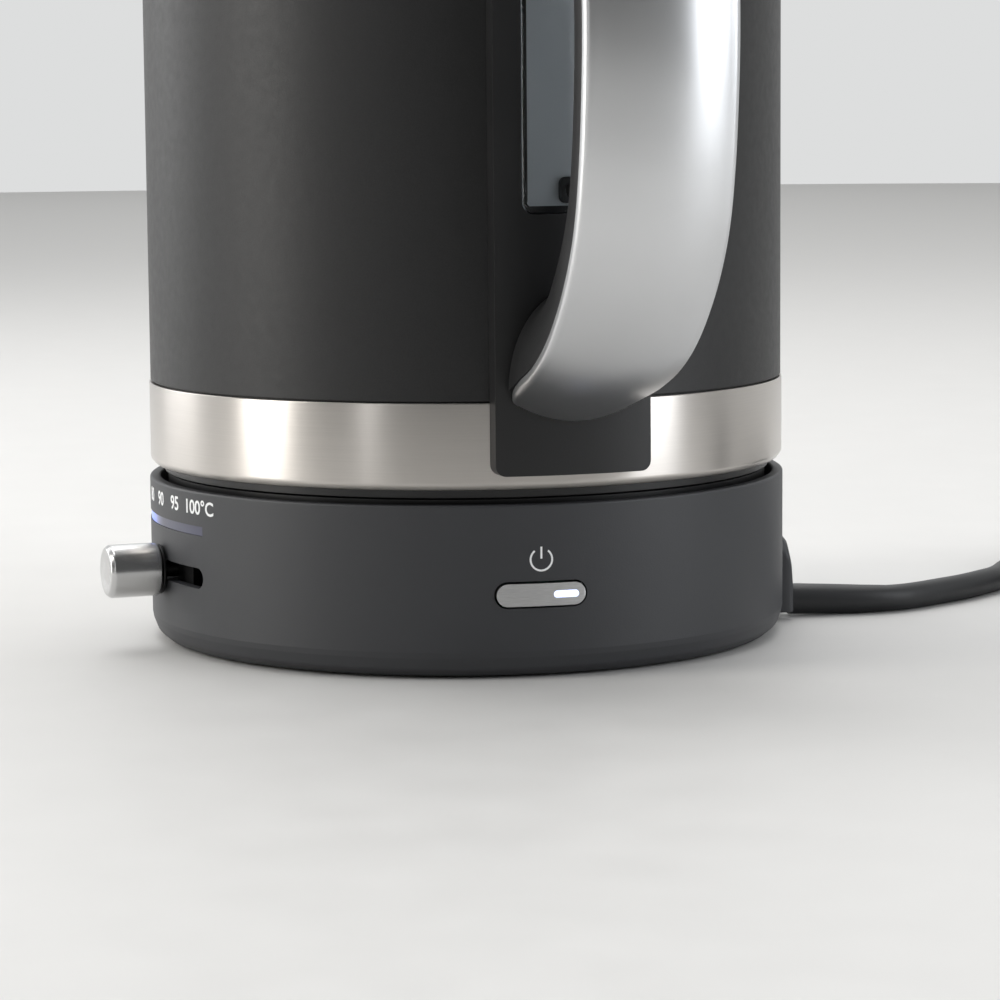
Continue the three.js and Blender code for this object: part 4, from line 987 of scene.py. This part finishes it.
def grip_ring(u):
    half, reach = half_width(u), (between(EDGE, u) - between(INNER, u)).length
    flare = max(0, 1 - (between(INNER, u).x - ROOT_X) / 8) ** 2
    wide, top, low = half - 0.6 + 1.5 * flare, half - SHELL_T - 0.3, SHELL_SIDE + 0.45
    turns = [math.pi * k / 40 for k in range(41)]
    under = [(wide * math.cos(a), -low - (reach - low) * math.sin(a)) for a in turns]
    over = [(y, crown(y, half) - SHELL_T - 0.3) for y in [top * (k / 8 - 1) for k in range(17)]]
    outline = under + [(-top, -low)] + over + [(top, -low)]
    return handle_ring(u, outline, lambda y: math.sqrt(PLATE_FRONT ** 2 - y * y) + 0.05)


grip_rings = [grip_ring(k / 120) for k in range(121)]
grip = lofted("handle_grip_moulded", grip_rings, black_plate, "kettle", ["handle_grip"], smooth=40)
cut(grip, prism("tool", cap_corners(0.6), 222.3, 260, arc=12), block(60, 108, *LATCH_ROOM),
    *[hole(z, 1.8, 95) for _, z in SCREW_HOLES])
for name, z in SCREW_HOLES:
    screw = turned(f"handle_screw_{name}_steel", [
        (0, 81, 0), (1.5, 81, 0), (1.5, 92, 0), (3, 92, 0), (3, 94, 0.6), (1.2, 94.4, 0), (0.9, 93.4, 0),
        (0, 93.4, 0),
    ], zinc, "kettle", [f"handle_screw_{name}"], steps=32, place=radial(0, z))

# ---- lid ----
# A shallow domed lid pressed from steel and coated with the body. A black liner with a silicone seal ring
# plugs the mouth below it, and a knuckle at the back turns on the steel hinge pin.
lid = turned("lid_dome", [
    (60, 229.3, 0), (65, 229.3, 0.4), (65, 232.8, 2.2), (63.2, 235, 2), (57, 238.3, 20), (48, 241.8, 60),
    (36, 244.6, 90), (20, 246.5, 90), (0, 247, 0), (0, 245.8, 0), (20, 245.3, 90), (36, 243.4, 80),
    (47.6, 240.7, 50), (56.4, 237.2, 15), (61, 234.7, 0.5), (61, 230.7, 0), (60, 230.7, 0),
], powder, "lid", ["lid_cover"], steps=240, arc=8)
arm = block(59, 74, -6, 5, 230.6, 234.8)
knuckle = turned("knuckle", [(0, -5, 0), (4, -5, 0.4), (4, 6, 0.4), (0, 6, 0)], steps=64, place=ACROSS)
fuse(lid, arm, knuckle)
cut(lid, drill(1.8, -20, 20, ACROSS))
liner = turned("lid_inner_liner", [
    (0, 217, 0), (50, 217, 2), (57.6, 219, 0.6), (57.6, 223, 0.2), (56.4, 223, 0), (56.4, 226, 0),
    (57.6, 226, 0.2), (57.6, 232, 0.3), (54.6, 232, 0.3), (54.6, 221, 0), (48, 219.4, 0), (0, 219.4, 0),
], black_abs, "lid", ["lid_liner"], steps=160)
seal = turned("lid_seal_ring", [
    (56.7, 223.3, 0.2), (58.3, 223.5, 0.4), (59.6, 224.2, 0.3), (59.6, 224.8, 0.3), (58.3, 225.5, 0.4),
    (56.7, 225.7, 0.2),
], silicone, "lid", ["lid_seal"], steps=160)
pin = turned("hinge_pin_steel", [
    (0, -12.3, 0), (1.5, -12.3, 0.3), (1.5, 12.3, 0.3), (0, 12.3, 0),
], zinc, "kettle", ["lid_hinge_pin"], steps=40, place=ACROSS)
coil_spring("hinge_torsion_spring", 2.4, 0.38, 5.2, 7.2, 2.2, zinc, "kettle", ["lid_spring"], ACROSS)

# ---- lid release ----
# A black cap in the top of the handle pushes a flat latch back from the lid against a coil spring.
button = prism("lid_release_cap", cap_corners(0), 229, 260, black_plate, "lid_button", ["lid_button"], arc=12)
over = [(-20, 30), (20, 30)] + [(y, crown(y) + 0.9) for y in [16 * (1 - j / 12) for j in range(25)]]
above = [handle_ring(0.8 + 0.16 * k / 40, over, lambda y: PLATE_FRONT + 0.5) for k in range(41)]
cut(button, lofted("tool", above), edge=0.5)
release_coil = coil_spring("lid_release_coil", 2.65, 0.3, 222.6, 228.7, 4, zinc, "kettle",
                           ["lid_button_spring"], Matrix.Translation(Vector((110.4, 0, 0)) * MM))
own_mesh(release_coil)
latch = prism("latch_bar", [
    (60.4, -6, 1.5), (101, -6, 0.5), (101, 6, 0.5), (60.4, 6, 1.5),
], 222.6, 225.2, black_abs, "lid_latch", ["lid_latch"])
cut(latch, edge=0.3)

# ---- floor and lights ----
# A plain pale worktop under soft studio light: a broad light overhead and behind, a window-like light on the
# left, a weaker one on the right, and a dim pale room all round.
counter = moulded("worktop_pale_plain", "#d2d1cf", "#d9d8d6", 1.2, 0.02, 0.58, 0.04)
floor = turned("worktop", [(0, -0.6, 0), (4000, -0.6, 0), (4000, 0, 0), (0, 0, 0)], counter, steps=96)


def soft_light(name, place, towards, width, height, watts, colour):
    lamp = bpy.data.lights.new(name, "AREA")
    lamp.shape = "RECTANGLE"
    lamp.size, lamp.size_y = width, height
    lamp.energy = watts
    lamp.color = linear(colour)[:3]
    made = shown(name, lamp)
    made.location = place
    made.rotation_euler = (Vector(towards) - Vector(place)).to_track_quat("-Z", "Y").to_euler()


VIEW_TURN = math.radians(-17.7)


def around_camera(right, away, z):
    """A place as it lies from the camera's side: to the right of it, away from it, and up, in metres."""
    a = VIEW_TURN
    return (-math.cos(a) * away - math.sin(a) * right, -math.sin(a) * away + math.cos(a) * right, z)


soft_light("light_overhead", around_camera(-0.1, 0.4, 1.5), (0, 0, 0.05), 1.6, 1.3, 16.5, "#ffffff")
soft_light("light_far", around_camera(0, 2.6, 1.8), around_camera(0, 2.6, 0), 3, 2, 15, "#ffffff")
soft_light("light_left", around_camera(-1.15, -0.33, 0.5), (0, 0, 0.1), 0.4, 1.1, 8.5, "#fffdf9")
soft_light("light_right", around_camera(1.11, -0.45, 0.5), (0, 0, 0.1), 0.45, 1.0, 6.5, "#f8fbff")
soft_light("light_behind_left", around_camera(-1.05, 0.65, 0.5), (0, 0, 0.1), 0.6, 0.9, 4, "#ffffff")
soft_light("light_edge", around_camera(-0.7, -1.05, 0.5), (0, 0, 0.1), 0.08, 1.0, 0.8, "#ffffff")
# The room is pale behind the kettle and dimmer on the near side, with an even change between.
world = bpy.data.worlds.new("room")
world.use_nodes = True
direction = node(world, "TexCoord")
straight_on = Vector(around_camera(0, 1, 0))
facing = node(world, "VectorMath", {0: direction.outputs["Generated"], 1: straight_on},
              operation="DOT_PRODUCT")
level = remap(world, facing.outputs["Value"], 0.13, 0.95, -0.5, 0.75, interpolation_type="SMOOTHSTEP")
room = world.node_tree.nodes["Background"]
room.inputs["Color"].default_value = linear("#e2e3e3")
world.node_tree.links.new(level, room.inputs["Strength"])
bpy.context.scene.world = world
bpy.context.scene.view_settings.view_transform = "Standard"
